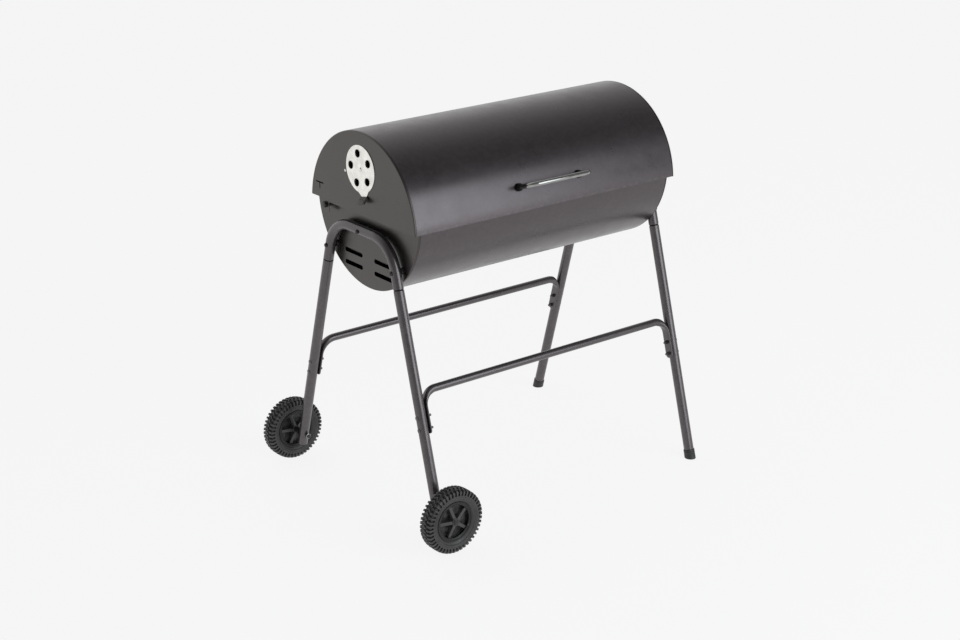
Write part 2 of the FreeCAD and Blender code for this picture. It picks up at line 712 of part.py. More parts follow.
def leg_lower(side, sign, row, across):
    label = f"leg_lower_{row}_{side}"
    end = "dims.wheel_leg_end" if side == "left" else "dims.cap_floor"
    start = end if side == "left" else BELOW_FLOOR
    length = f"((dims.arch_joint - {start}) / cos(dims.splay))"
    outer = leg_bar(f"{label}_outer", "dims.leg_tube", sign, across, start, length)
    inner = leg_bar(f"{label}_inner", LEG_BORE, sign, across, f"({start} + {BELOW_FLOOR})", CUTTER)
    tools = [inner]
    near = f"({LEG_INSIDE} - dims.overlap)"
    far = f"({LEG_OUTSIDE} + dims.overlap)"
    for index, distance in enumerate(("dims.rail_bolt_first", "dims.rail_bolt_second")):
        y, z = rail_bolt_place(across, distance)
        tools.append(along_x_from(f"{label}_rail_hole_{index}", cylinder, BOLT_BORE, near, far, sign, y, z))
    if side == "left":
        tools.append(cylinder(f"{label}_axle_hole", "dims.axle + dims.hole_room", "4 * dims.leg_tube",
                              f"{sign} * dims.leg_plane", f"{across} * {AXLE_LEG_OUT} - 2 * dims.leg_tube",
                              "dims.wheel_radius", ALONG_Y))
    else:
        tools.append(box(f"{label}_floor_cut", CUTTER, CUTTER, CUTTER, -CUTTER / 2, -CUTTER / 2,
                         f"{end} - {CUTTER}"))
    node(label, [cut(f"{label}_solid", outer, tools)])


def foot_cap(row, across):
    """A plastic cap over a leg's foot, its sole level with the floor."""
    sleeve = leg_bar(f"cap_{row}_sleeve", "dims.cap_radius", 1, across, BELOW_FLOOR,
                     f"(dims.cap_length - {BELOW_FLOOR}) / cos(dims.splay)")
    bore = leg_bar(f"cap_{row}_bore", "dims.leg_tube + dims.snug", 1, across, BELOW_FLOOR, CUTTER)
    above = box(f"cap_{row}_above", CUTTER, CUTTER, CUTTER, -CUTTER / 2, -CUTTER / 2, "dims.cap_floor")
    pocket = common(f"cap_{row}_pocket", [bore, above])
    floor = box(f"cap_{row}_floor", CUTTER, CUTTER, CUTTER, -CUTTER / 2, -CUTTER / 2, -CUTTER)
    node(f"foot_cap_{row}", [cut(f"foot_cap_{row}_solid", sleeve, [pocket, floor])])


def leg_plugs():
    plugs = []
    for row, across in rows():
        stem = leg_bar(f"plug_{row}_stem", f"{LEG_BORE} - dims.snug", -1, across, "dims.wheel_leg_end",
                       "dims.plug_length")
        flange = leg_bar(f"plug_{row}_flange", "dims.leg_tube", -1, across,
                         "(dims.wheel_leg_end - dims.plug_flange * cos(dims.splay))", "dims.plug_flange")
        plugs.append(fuse(f"plug_{row}", [stem, flange]))
    node("leg_plugs", plugs)


def arch_fixings():
    bolts = []
    spacers = []
    nuts = []
    for side, sign in sides():
        for name, y, z in (("top", 0, "dims.arch_top"),
                           ("front", f"0 - {ARCH_BOLT_OUT}", "dims.arch_bolt_level"),
                           ("rear", ARCH_BOLT_OUT, "dims.arch_bolt_level")):
            tag = f"{side}_{name}"
            inner = f"({BOWL_HALF} - dims.plate)"
            shank = along_x_from(f"arch_bolt_{tag}_shank", cylinder, "dims.bolt",
                                 f"({inner} - dims.nut_high - dims.bolt_spare)",
                                 f"({LEG_OUTSIDE} + dims.overlap)", sign, y, z)
            head = along_x_from(f"arch_bolt_{tag}_head", hexagon, "dims.bolt_head", LEG_OUTSIDE,
                                f"({LEG_OUTSIDE} + dims.bolt_head_high)", sign, y, z)
            bolts.append(fuse(f"arch_bolt_{tag}", [shank, head]))
            ring = along_x_from(f"arch_spacer_{tag}_ring", cylinder, "dims.arch_spacer", BOWL_HALF,
                                LEG_INSIDE, sign, y, z)
            bore = along_x_from(f"arch_spacer_{tag}_bore", cylinder, BOLT_BORE,
                                f"({BOWL_HALF} - dims.overlap)", f"({LEG_INSIDE} + dims.overlap)", sign, y,
                                z)
            spacers.append(cut(f"arch_spacer_{tag}", ring, [bore]))
            nuts.append(nut(f"arch_nut_{tag}", f"({inner} - dims.nut_high)", inner, sign, y, z))
    node("arch_bolts", bolts)
    node("arch_spacers", spacers)
    node("arch_nuts", nuts)


def nut(name, near, far, sign, y, z, radius="dims.nut", bore="dims.bolt"):
    block = along_x_from(f"{name}_block", hexagon, radius, near, far, sign, y, z)
    hole = along_x_from(f"{name}_hole", cylinder, f"{bore} + dims.snug", f"({near} - dims.overlap)",
                        f"({far} + dims.overlap)", sign, y, z)
    return cut(name, block, [hole])


# ---------------------------------------------------------------- stretchers
def ellipse(name, wide, thick, x, z):
    """A flattened tube's outline, lying level, its long axis across the grill."""
    ring = doc.addObject("Part::Ellipse", name)
    bind(ring, "MajorRadius", f"(({wide}) / 2)")
    bind(ring, "MinorRadius", f"(({thick}) / 2)")
    return place(ring, x, 0, z, FreeCAD.Rotation(V(0, 0, 1), 90))


def rail_bar(name, tube):
    """A stretcher's level run and its two bends, as round bars of radius tube."""
    straight = "(dims.rail_reach - dims.rail_bend)"
    bars = [cylinder(f"{name}_level", tube, f"2 * {straight}", f"0 - {straight}", 0, 0, ALONG_X)]
    for side, sign in sides():
        bars.append(bend(f"{name}_bend_{side}", "dims.rail_bend", tube, 90, f"{sign} * {straight}", 0,
                         "0 - dims.rail_bend", V(0, 0, 1), V(sign, 0, 0)))
    return bars


def stretcher(row, across):
    """A tube along the grill, bent down at both ends, flattened and bolted to the legs."""
    name = f"stretcher_{row}"
    flat_x = f"({LEG_INSIDE} - dims.seat_gap - dims.rail_flat_thick / 2)"
    pieces = rail_bar(f"{name}_outer", "dims.rail_tube")
    drills = rail_bar(f"{name}_inner", "(dims.rail_tube - dims.leg_wall)")
    for side, sign in sides():
        top = ellipse(f"{name}_{side}_round", "2 * dims.rail_tube + 2 * dims.rail_collar",
                      "2 * dims.rail_tube + dims.rail_collar", f"{sign} * dims.rail_reach",
                      "dims.overlap - dims.rail_bend")
        middle = ellipse(f"{name}_{side}_flat", "dims.rail_flat_wide", "dims.rail_flat_thick",
                         f"{sign} * {flat_x}", "0 - dims.rail_flat_start")
        foot = ellipse(f"{name}_{side}_foot", "dims.rail_flat_wide", "dims.rail_flat_thick",
                       f"{sign} * {flat_x}", "0 - dims.rail_end")
        end = doc.addObject("Part::Loft", f"{name}_{side}_end")
        end.Sections = [top, middle, foot]
        end.Solid = True
        end.Ruled = True
        pieces.append(end)
        for index, distance in enumerate(("dims.rail_bolt_first", "dims.rail_bolt_second")):
            drills.append(along_x_from(f"{name}_{side}_hole_{index}", cylinder, BOLT_BORE,
                                       "(dims.rail_reach - dims.rail_bend)", "dims.leg_plane", sign, 0,
                                       f"0 - {distance}"))
    bar = cut(f"{name}_solid", fuse(f"{name}_bar", pieces), drills)
    lean(bar, V(across, 0, 0), "dims.splay", 0, f"{across} * {RAIL_OUT}", "dims.rail_level")
    node(name, [bar])


def stretcher_fixings():
    bolts = []
    nuts = []
    inner = f"({LEG_INSIDE} - 2 * dims.seat_gap - dims.rail_flat_thick)"
    for side, sign in sides():
        for row, across in rows():
            for index, distance in enumerate(("dims.rail_bolt_first", "dims.rail_bolt_second")):
                tag = f"{side}_{row}_{index}"
                y, z = rail_bolt_place(across, distance)
                shank = along_x_from(f"rail_bolt_{tag}_shank", cylinder, "dims.bolt",
                                     f"({inner} - dims.nut_high - dims.rail_bolt_spare)",
                                     f"({LEG_OUTSIDE} + dims.overlap)", sign, y, z)
                head = along_x_from(f"rail_bolt_{tag}_head", cylinder, "dims.bolt_head", LEG_OUTSIDE,
                                    f"({LEG_OUTSIDE} + dims.rail_head_high)", sign, y, z)
                bolts.append(fuse(f"rail_bolt_{tag}", [shank, head]))
                nuts.append(nut(f"rail_nut_{tag}", f"({inner} - dims.nut_high)", inner, sign, y, z))
    node("stretcher_bolts", bolts)
    node("stretcher_nuts", nuts)


# ---------------------------------------------------------------- hinge
def hinge_fixings():
    bolts = []
    spacers = []
    nuts = []
    y = "dims.hinge_back"
    z = "dims.hinge_level"
    inner = f"({BOWL_HALF} - dims.plate)"
    for side, sign in sides():
        head_start = f"({LID_HALF} + dims.gap)"
        shank = along_x_from(f"hinge_{side}_shank", cylinder, "dims.hinge_shank",
                             f"({inner} - dims.hinge_nut_high - dims.bolt_spare)",
                             f"({head_start} + dims.overlap)", sign, y, z)
        head = along_x_from(f"hinge_{side}_head", hexagon, "dims.hinge_head", head_start,
                            f"({head_start} + dims.hinge_head_high)", sign, y, z)
        bolts.append(fuse(f"hinge_bolt_{side}", [shank, head]))
        far = f"({LID_HALF} - dims.plate - dims.gap)"
        ring = along_x_from(f"hinge_spacer_{side}_ring", cylinder, "dims.hinge_spacer", BOWL_HALF, far, sign,
                            y, z)
        bore = along_x_from(f"hinge_spacer_{side}_bore", cylinder, "dims.hinge_shank + dims.hole_room",
                            f"({BOWL_HALF} - dims.overlap)", f"({far} + dims.overlap)", sign, y, z)
        spacers.append(cut(f"hinge_spacer_{side}", ring, [bore]))
        nuts.append(nut(f"hinge_nut_{side}", f"({inner} - dims.hinge_nut_high)", inner, sign, y, z,
                        "dims.hinge_nut", "dims.hinge_shank"))
    node("hinge_bolts", bolts)
    node("hinge_spacers", spacers)
    node("hinge_nuts", nuts)


# ---------------------------------------------------------------- wheels
def wheel_body(name, across):
    x = f"{FRAME_SHIFT} - dims.leg_plane"
    return new_body(name, x, f"{across} * dims.wheel_track", "dims.wheel_radius")


def revolve(body, sketch, name):
    turn = body.newObject("PartDesign::Revolution", name)
    turn.Profile = sketch
    turn.ReferenceAxis = (sketch, ["H_Axis"])
    turn.Angle = 360
    return turn


def mirrored(profile):
    """Half of a wheel's section from its bore outwards, joined to its mirror image."""
    far = [(f"(0 - {x})", r) for x, r in profile]
    return [(x, r) for x, r in profile] + far[::-1]


def tyre(row, across):
    """A moulded tyre: bulging sidewalls, rounded shoulders and a flat crown."""
    body = wheel_body(f"tyre_{row}_body", across)
    section = new_sketch(body, f"tyre_{row}_section", "YZ_Plane")
    profile = (
        ("(dims.tyre_foot_half)", "(dims.rim_radius + dims.snug)"),
        ("(dims.tyre_bead_half)", "(dims.rim_radius + dims.tyre_bead)"),
        ("(dims.wheel_width / 2)", "(dims.rim_radius + dims.tyre_bulge)"),
        ("(dims.tyre_shoulder_half)", "(dims.wheel_radius - dims.tyre_shoulder)"),
        ("(dims.tyre_edge_half)", "(dims.wheel_radius - dims.tyre_edge)"),
        ("(dims.tyre_crown_half)", "(dims.wheel_radius)"),
    )
    outline(section, mirrored(profile))
    revolve(body, section, f"tyre_{row}_turned")
    body_node(body, f"tyre_{row}")


def wheel_hub(row, across):
    """A moulded hub: rim, thin web, centre boss and five ribs on each side of the web."""
    body = wheel_body(f"hub_{row}_body", across)
    section = new_sketch(body, f"hub_{row}_section", "YZ_Plane")
    rim_half = "(dims.rim_width / 2)"
    hub_half = "(dims.hub_length / 2)"
    web_half = "(dims.web / 2)"
    profile = (
        (hub_half, "(dims.axle + dims.axle_fit)"),
        (hub_half, "(dims.hub_radius)"),
        (web_half, "(dims.hub_radius + dims.hub_taper)"),
        (web_half, "(dims.rim_radius - dims.rim_wall)"),
        (rim_half, "(dims.rim_radius - dims.rim_wall)"),
        (rim_half, "(dims.rim_radius)"),
    )
    outline(section, mirrored(profile))
    revolve(body, section, f"hub_{row}_turned")
    rib = new_sketch(body, f"hub_{row}_rib", "XZ_Plane")
    inner = "(dims.hub_radius - dims.hub_taper)"
    outer = "(dims.rim_radius - dims.overlap)"
    across_half = "(dims.spoke_thick / 2)"
    outline(rib, [(f"(0 - {across_half})", inner), (across_half, inner), (across_half, outer),
                  (f"(0 - {across_half})", outer)])
    spoke = pad(body, rib, "dims.spoke_width", f"hub_{row}_spoke", midplane=True)
    ring = body.newObject("PartDesign::PolarPattern", f"hub_{row}_spokes")
    ring.Originals = [spoke]
    ring.Axis = ([f for f in body.Origin.OriginFeatures if f.Role == "Y_Axis"][0], [""])
    ring.Angle = 360
    ring.Occurrences = RIBS
    body.Tip = ring
    body_node(body, f"wheel_hub_{row}")


def along_y_from(name, shape, radius, near, far, across):
    """A bar along a wheel's axle from near to far, both measured outwards from the middle."""
    low = near if across > 0 else f"(0 - {far})"
    return shape(name, radius, f"({far} - {near})", "0 - dims.leg_plane", low, "dims.wheel_radius", ALONG_Y)


def axle(row, across):
    """A bolt through the hub, a spacer bush and the leg, with a nut on the leg's inner side."""
    hub_out = "(dims.wheel_track + dims.hub_length / 2 + dims.gap)"
    hub_in = "(dims.wheel_track - dims.hub_length / 2 - dims.gap)"
    leg_half = "(dims.leg_tube / cos(dims.splay) + dims.axle_head * tan(dims.splay))"
    leg_out = f"({AXLE_LEG_OUT} + {leg_half})"
    leg_in = f"({AXLE_LEG_OUT} - {leg_half})"
    shank = along_y_from(f"axle_{row}_shank", cylinder, "dims.axle",
                         f"({leg_in} - dims.axle_nut_high - dims.bolt_spare)",
                         f"({hub_out} + dims.overlap)", across)
    head = along_y_from(f"axle_{row}_head", hexagon, "dims.axle_head", hub_out,
                        f"({hub_out} + dims.axle_head_high)", across)
    node(f"axle_bolt_{row}", [fuse(f"axle_bolt_{row}_solid", [shank, head])])
    ring = along_y_from(f"bush_{row}_ring", cylinder, "dims.axle_head", leg_out, hub_in, across)
    bore = along_y_from(f"bush_{row}_bore", cylinder, "dims.axle + dims.hole_room",
                        f"({leg_out} - dims.overlap)", f"({hub_in} + dims.overlap)", across)
    node(f"axle_bush_{row}", [cut(f"axle_bush_{row}_solid", ring, [bore])])
    nut_in = f"({leg_in} - dims.axle_nut_high)"
    block = along_y_from(f"axle_nut_{row}_block", hexagon, "dims.axle_head", nut_in, leg_in, across)
    hole = along_y_from(f"axle_nut_{row}_bore", cylinder, "dims.axle + dims.snug",
                        f"({nut_in} - dims.overlap)", f"({leg_in} + dims.overlap)", across)
    return cut(f"axle_nut_{row}", block, [hole])


# ---------------------------------------------------------------- assembly
lid_shell()
lid_handle()
vent_damper()
vent_grip()
vent_fixings()
bowl_shell()
hinge_fixings()
arch_fixings()
stretcher_fixings()
leg_plugs()
for side_name, side_sign in sides():
    lid_end(side_name, side_sign)
    bowl_end(side_name, side_sign)
    leg_arch(side_name, side_sign)
    wire_grate(f"cooking_grate_{side_name}", side_sign, "dims.grate_level", "dims.grate_half_depth",
               "dims.grate_pitch", "dims.grate_wire", "dims.grate_rod")
    wire_grate(f"charcoal_grate_{side_name}", side_sign, "dims.coal_level", "dims.coal_half_depth",
               "dims.coal_pitch", "dims.coal_wire", "dims.coal_wire")
    for row_name, row_sign in rows():
        leg_lower(side_name, side_sign, row_name, row_sign)
axle_nuts = []
for row_name, row_sign in rows():
    grate_ledge(row_name, row_sign)
    foot_cap(row_name, row_sign)
    stretcher(row_name, row_sign)
    tyre(row_name, row_sign)
    wheel_hub(row_name, row_sign)
    axle_nuts.append(axle(row_name, row_sign))
node("axle_nuts", axle_nuts)
doc.recompute()

# ---------------------------------------------------------------- checks and export
for thing in doc.Objects:
    broken = {"Invalid", "Error"} & set(thing.State)
    if broken:
        raise RuntimeError(f"{thing.Label} is {broken}")
for thing in nodes:
    shape = thing.Shape
    if shape.isNull() or not shape.isValid() or not shape.Solids:
        raise RuntimeError(f"{thing.Label} has no valid solid")
    if any(solid.Volume <= 0 for solid in shape.Solids):
        raise RuntimeError(f"{thing.Label} has an empty solid")

os.makedirs("parts", exist_ok=True)
for thing in nodes:
    thing.Shape.exportStep(f"parts/{thing.Label}.step")
    box_of = thing.Shape.BoundBox
    print(f"{thing.Label:26s} solids {len(thing.Shape.Solids):2d}  cm3 {thing.Shape.Volume / 1000:8.2f}"
          f"  x {box_of.XMin:7.1f} {box_of.XMax:7.1f}  y {box_of.YMin:7.1f} {box_of.YMax:7.1f}"
          f"  z {box_of.ZMin:6.1f} {box_of.ZMax:6.1f}")
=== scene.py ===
import json
import math

import bmesh
import bpy
from mathutils import Matrix, Vector


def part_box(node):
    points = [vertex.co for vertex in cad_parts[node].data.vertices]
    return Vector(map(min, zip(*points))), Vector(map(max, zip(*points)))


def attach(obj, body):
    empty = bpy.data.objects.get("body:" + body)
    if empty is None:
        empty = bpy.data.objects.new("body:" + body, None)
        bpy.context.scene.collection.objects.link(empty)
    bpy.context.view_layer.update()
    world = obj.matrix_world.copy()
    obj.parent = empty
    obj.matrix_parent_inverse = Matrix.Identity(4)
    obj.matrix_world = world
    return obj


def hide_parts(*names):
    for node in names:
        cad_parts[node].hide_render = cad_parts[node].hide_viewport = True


# Looks of the barrel charcoal grill. Metres, in the row frame: +X towards the feet,
# -X towards the wheels and the vent, -Y the front with the handle, +Z up.

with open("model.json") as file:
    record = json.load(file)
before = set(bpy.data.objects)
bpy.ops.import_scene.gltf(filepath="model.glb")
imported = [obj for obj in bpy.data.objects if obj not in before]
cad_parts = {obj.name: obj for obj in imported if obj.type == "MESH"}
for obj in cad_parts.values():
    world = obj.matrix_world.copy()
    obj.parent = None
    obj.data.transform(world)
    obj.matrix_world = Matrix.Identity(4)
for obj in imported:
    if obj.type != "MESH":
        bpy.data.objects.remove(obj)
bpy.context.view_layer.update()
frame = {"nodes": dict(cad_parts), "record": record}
nodes = frame["nodes"]
TURN = 2 * math.pi


# ---- places read from the frame
def middle(node):
    low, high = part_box(node)
    return (low + high) / 2


def solids(node):
    """The box of each separate solid of a CAD node, in order along X, then Y, then Z."""
    points = [tuple(round(c, 6) for c in v.co) for v in nodes[node].data.vertices]
    parent = {p: p for p in points}

    def root(p):
        while parent[p] != p:
            parent[p] = parent[parent[p]]
            p = parent[p]
        return p

    for polygon in nodes[node].data.polygons:
        corners = [points[i] for i in polygon.vertices]
        for other in corners[1:]:
            parent[root(other)] = root(corners[0])
    groups = {}
    for p in parent:
        groups.setdefault(root(p), []).append(p)
    boxes = []
    for group in groups.values():
        low = Vector([min(p[i] for p in group) for i in range(3)])
        high = Vector([max(p[i] for p in group) for i in range(3)])
        boxes.append((low, high))
    return sorted(boxes, key=lambda box: tuple(round(c, 3) for c in (box[0] + box[1]) / 2))


def drum(node, edge, crown):
    """Radius and centre height of a half drum from its edge height and its crown height."""
    half = -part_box(node)[0].y
    rise = crown - edge
    radius = (half * half + rise * rise) / (2 * abs(rise))
    return radius, crown - math.copysign(radius, rise)


LEFT_END, RIGHT_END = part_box("lid_end_left")[0].x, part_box("lid_end_right")[1].x
BARREL_X = (LEFT_END + RIGHT_END) / 2
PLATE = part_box("lid_end_left")[1].x - LEFT_END
LID_LOW, LID_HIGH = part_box("lid_shell")
LID_R, LID_Z = drum("lid_shell", LID_LOW.z, LID_HIGH.z)
BOWL_LOW, BOWL_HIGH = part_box("bowl_shell")
BOWL_R, BOWL_Z = drum("bowl_shell", BOWL_HIGH.z, BOWL_LOW.z)
BOWL_LEFT, BOWL_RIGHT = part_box("bowl_end_left")[0].x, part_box("bowl_end_right")[1].x
VENT = middle("vent_rivet")
HINGE = middle("hinge_bolts")
ARCH_LOW, ARCH_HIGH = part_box("leg_arch_left")
LEG_R = (ARCH_HIGH.x - ARCH_LOW.x) / 2
LEG_X = {"left": middle("leg_arch_left").x, "right": middle("leg_arch_right").x}
WHEEL_R = (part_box("tyre_front")[1].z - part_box("tyre_front")[0].z) / 2
WHEEL_HALF = (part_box("tyre_front")[1].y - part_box("tyre_front")[0].y) / 2
RIM_R = (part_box("wheel_hub_front")[1].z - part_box("wheel_hub_front")[0].z) / 2

SIDES = (("left", -1), ("right", 1))
ROWS = (("front", -1), ("rear", 1))


# ---- materials
def new_material(name, base, roughness, metallic=0.0, specular=0.5):
    """A Principled material and its node tree; the even values sit on the shader's own sockets."""
    material = bpy.data.materials.new(name)
    material.use_nodes = True
    tree = material.node_tree
    shader = tree.nodes["Principled BSDF"]
    shader.inputs["Base Color"].default_value = (*base, 1)
    shader.inputs["Roughness"].default_value = roughness
    shader.inputs["Metallic"].default_value = metallic
    shader.inputs["Specular IOR Level"].default_value = specular
    return material, tree, shader


def noise(tree, scale, detail, stretch=(1, 1, 1)):
    """Noise in the piece's own coordinates: scale counts waves in a metre."""
    place = tree.nodes.new("ShaderNodeTexCoord")
    mapping = tree.nodes.new("ShaderNodeMapping")
    mapping.inputs["Scale"].default_value = stretch
    texture = tree.nodes.new("ShaderNodeTexNoise")
    texture.inputs["Scale"].default_value = scale
    texture.inputs["Detail"].default_value = detail
    tree.links.new(place.outputs["Object"], mapping.inputs["Vector"])
    tree.links.new(mapping.outputs["Vector"], texture.inputs["Vector"])
    return texture.outputs["Fac"]


def span(tree, factor, low, high, start=0.3, stop=0.7):
    """A number that goes from low to high as factor goes from start to stop."""
    node = tree.nodes.new("ShaderNodeMapRange")
    tree.links.new(factor, node.inputs["Value"])
    for socket, number in (("From Min", start), ("From Max", stop), ("To Min", low), ("To Max", high)):
        node.inputs[socket].default_value = number
    return node.outputs["Result"]


def blend_colours(tree, factor, first, second):
    """A colour between two: each is a colour, or another node's output."""
    node = tree.nodes.new("ShaderNodeMix")
    node.data_type = "RGBA"
    tree.links.new(factor, node.inputs["Factor"])
    for socket, colour in (("A", first), ("B", second)):
        target = [s for s in node.inputs if s.name == socket and s.type == "RGBA"][0]
        if isinstance(colour, tuple):
            target.default_value = (*colour, 1)
        else:
            tree.links.new(colour, target)
    return [s for s in node.outputs if s.type == "RGBA"][0]


def bump(tree, shader, height, distance):
    """Adds a height in metres over whatever bump the shader already has."""
    node = tree.nodes.new("ShaderNodeBump")
    node.inputs["Distance"].default_value = distance
    tree.links.new(height, node.inputs["Height"])
    if shader.inputs["Normal"].links:
        tree.links.new(shader.inputs["Normal"].links[0].from_socket, node.inputs["Normal"])
    tree.links.new(node.outputs["Normal"], shader.inputs["Normal"])


EDGE_SPAN = (0.54, 0.62)
PATCH_SPAN = (0.42, 0.62)


def worn_edges(tree):
    """A factor that rises on sharp convex edges, broken up by noise."""
    geometry = tree.nodes.new("ShaderNodeNewGeometry")
    edge = span(tree, geometry.outputs["Pointiness"], 0, 1, *EDGE_SPAN)
    patches = span(tree, noise(tree, 90, 4), 0, 1, *PATCH_SPAN)
    product = tree.nodes.new("ShaderNodeMath")
    product.operation = "MULTIPLY"
    tree.links.new(edge, product.inputs[0])
    tree.links.new(patches, product.inputs[1])
    return product.outputs["Value"]


PAINT_IOR = 1.53
PAINT_DRIFT = 0.035
PAINT_WAVE = 6


def enamel(name, dark, light, worn, roughness, specular, peel, sheen):
    """Baked enamel: orange peel, drifting gloss, cloudy tone and edges rubbed lighter."""
    material, tree, shader = new_material(name, dark, roughness, specular=specular)
    shader.inputs["IOR"].default_value = PAINT_IOR
    shader.inputs["Specular Tint"].default_value = (*sheen, 1)
    clouds = span(tree, noise(tree, 7, 5), 0, 1)
    tone = blend_colours(tree, clouds, dark, light)
    tree.links.new(blend_colours(tree, worn_edges(tree), tone, worn), shader.inputs["Base Color"])
    gloss = span(tree, noise(tree, 24, 6), roughness - PAINT_DRIFT, roughness + PAINT_DRIFT)
    tree.links.new(gloss, shader.inputs["Roughness"])
    bump(tree, shader, noise(tree, 420, 3), peel)
    bump(tree, shader, noise(tree, 14, 1), peel * PAINT_WAVE)
    return material


MOULD_DRIFT = 0.08
HANDLED_SHARE = 3


def moulded(name, dark, light, roughness, grain, specular=0.5):
    """Moulded plastic: fine spark-eroded grain, paler where it is handled."""
    material, tree, shader = new_material(name, dark, roughness, specular=specular)
    clouds = span(tree, noise(tree, 40, 4), 0, 1)
    tone = blend_colours(tree, clouds, dark, light)
    tree.links.new(blend_colours(tree, worn_edges(tree), tone, tuple(HANDLED_SHARE * c for c in light)),
                   shader.inputs["Base Color"])
    tree.links.new(span(tree, noise(tree, 60, 5), roughness - MOULD_DRIFT, roughness + MOULD_DRIFT),
                   shader.inputs["Roughness"])
    bump(tree, shader, noise(tree, 1500, 2), grain)
    return material


PLATED_DRIFT = (0.7, 1.4)


def plated(name, bright, dull, roughness, brush, stretch):
    """Plated metal with a drawn or rolled grain along one direction and a cloudy sheen."""
    material, tree, shader = new_material(name, bright, roughness, metallic=1.0)
    clouds = span(tree, noise(tree, 60, 5), 0, 1)
    tree.links.new(blend_colours(tree, clouds, bright, dull), shader.inputs["Base Color"])
    low, high = (roughness * share for share in PLATED_DRIFT)
    tree.links.new(span(tree, noise(tree, 300, 5, stretch), low, high), shader.inputs["Roughness"])
    bump(tree, shader, noise(tree, 700, 3, stretch), brush)
    return material


BARREL = enamel("barrel_enamel", (0.0042, 0.004, 0.004), (0.0065, 0.006, 0.006), (0.03, 0.029, 0.028),
                0.3, 1.0, 0.00002, (1.0, 0.89, 0.95))
# The end plates are the barrel's own enamel; this dimmer, warmer-tinted copy paints shade and warm light
# onto their faces.
SHADED_PLATES = enamel("plate_enamel_painted_shade", (0.0046, 0.0042, 0.0039), (0.0068, 0.0062, 0.0057), (0.03, 0.029, 0.028),
                0.3, 1.0, 0.00002, (0.82, 0.755, 0.71))
LEGS = enamel("leg_enamel", (0.02, 0.0188, 0.0192), (0.028, 0.0264, 0.027), (0.06, 0.057, 0.055),
              0.27, 1.0, 0.000004, (1.0, 0.91, 0.94))
STEEL = enamel("black_oxide", (0.005, 0.005, 0.005), (0.009, 0.0085, 0.008), (0.12, 0.11, 0.1),
               0.38, 0.4, 0.00003, (1, 1, 1))
COALS = enamel("coal_wire_black", (0.02, 0.019, 0.018), (0.04, 0.036, 0.032), (0.12, 0.1, 0.08),
               0.55, 0.5, 0.0001, (1, 1, 1))
PLASTIC = moulded("black_plastic", (0.012, 0.012, 0.012), (0.02, 0.02, 0.02), 0.45, 0.00002)
GRIP = moulded("grip_plastic", (0.03, 0.028, 0.026), (0.042, 0.04, 0.037), 0.5, 0.00002)
FERRULE = moulded("ferrule_plastic", (0.003, 0.003, 0.003), (0.005, 0.005, 0.005), 0.45, 0.00002, 0.15)
# The hub and its ribs are one plastic: the hub copy is darker to paint the shade in the wheel's recess,
# the rib copy lighter to paint highlights on the rib tops.
SHADED_HUB = moulded("hub_plastic", (0.014, 0.013, 0.013), (0.022, 0.0205, 0.0205), 0.45, 0.00002, 0.3)
LIT_RIBS = moulded("rib_plastic_painted_highlight", (0.034, 0.031, 0.031), (0.05, 0.046, 0.046), 0.4, 0.00002)
TYRE = moulded("tyre_plastic", (0.026, 0.024, 0.024), (0.044, 0.0405, 0.0405), 0.5, 0.00004)
CHROME = plated("chrome", (0.36, 0.36, 0.35), (0.28, 0.28, 0.27), 0.07, 0.000002, (0.05, 1, 1))
DISC = plated("bright_plate", (0.95, 0.94, 0.9), (0.76, 0.75, 0.71), 0.3, 0.00012, (1, 1, 1))
ZINC = plated("zinc_plate", (0.3, 0.3, 0.29), (0.22, 0.22, 0.21), 0.32, 0.00001, (1, 1, 1))
WIRE = plated("grate_plate", (0.78, 0.78, 0.77), (0.66, 0.66, 0.64), 0.16, 0.00001, (1, 0.1, 1))


# ---- mesh tools
LEVEL = 0.99999
WELD = 1e-7
SLIVER = 1e-8
PLATE_WELD = 1e-6
SHARP = 35
EDGE_SHARE = 0.3
FIT = 0.0001
UP, TO_LEFT = Vector((0, 0, 1)), Vector((-1, 0, 0))


def turns(count):
    """The angles of a full turn in equal steps."""
    return [TURN * k / count for k in range(count)]


def added(name, data):
    """A new object that holds the data, put in the scene."""
    thing = bpy.data.objects.new(name, data)
    bpy.context.scene.collection.objects.link(thing)
    return thing


def piece(name, mesh, material, body, slot, *replaced, angle=SHARP, level=False):
    """A finished mesh as a piece: shaded by angle, on its body, standing for its CAD nodes.
    A level piece is a plate across X, whose flat faces take no shading from their edges."""
    mesh.materials.clear()
    mesh.materials.append(material)
    mesh.shade_smooth()
    mesh.set_sharp_from_angle(angle=math.radians(angle))
    if level:
        for polygon in mesh.polygons:
            polygon.use_smooth = abs(polygon.normal.x) < LEVEL
    thing = added(name, mesh)
    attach(thing, body)
    if replaced:
        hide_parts(*replaced)


def finish_mesh(name, work):
    """Turns a bmesh into a mesh with outward faces."""
    bmesh.ops.recalc_face_normals(work, faces=work.faces)
    mesh = bpy.data.meshes.new(name)
    work.to_mesh(mesh)
    work.free()
    return mesh


def opened(mesh):
    """A bmesh with the mesh's shape, in place of the mesh."""
    work = bmesh.new()
    work.from_mesh(mesh)
    bpy.data.meshes.remove(mesh)
    return work


def sliced(work, place, outward):
    """Cuts away what lies beyond a plane and closes the cut."""
    cut = bmesh.ops.bisect_plane(work, geom=work.verts[:] + work.edges[:] + work.faces[:],
                                 plane_co=place, plane_no=outward, clear_outer=True)
    edges = [e for e in cut["geom_cut"] if isinstance(e, bmesh.types.BMEdge)]
    bmesh.ops.holes_fill(work, edges=edges)


def joined(name, meshes):
    """One mesh that holds several closed ones."""
    work = bmesh.new()
    for mesh in meshes:
        work.from_mesh(mesh)
        bpy.data.meshes.remove(mesh)
    return finish_mesh(name, work)


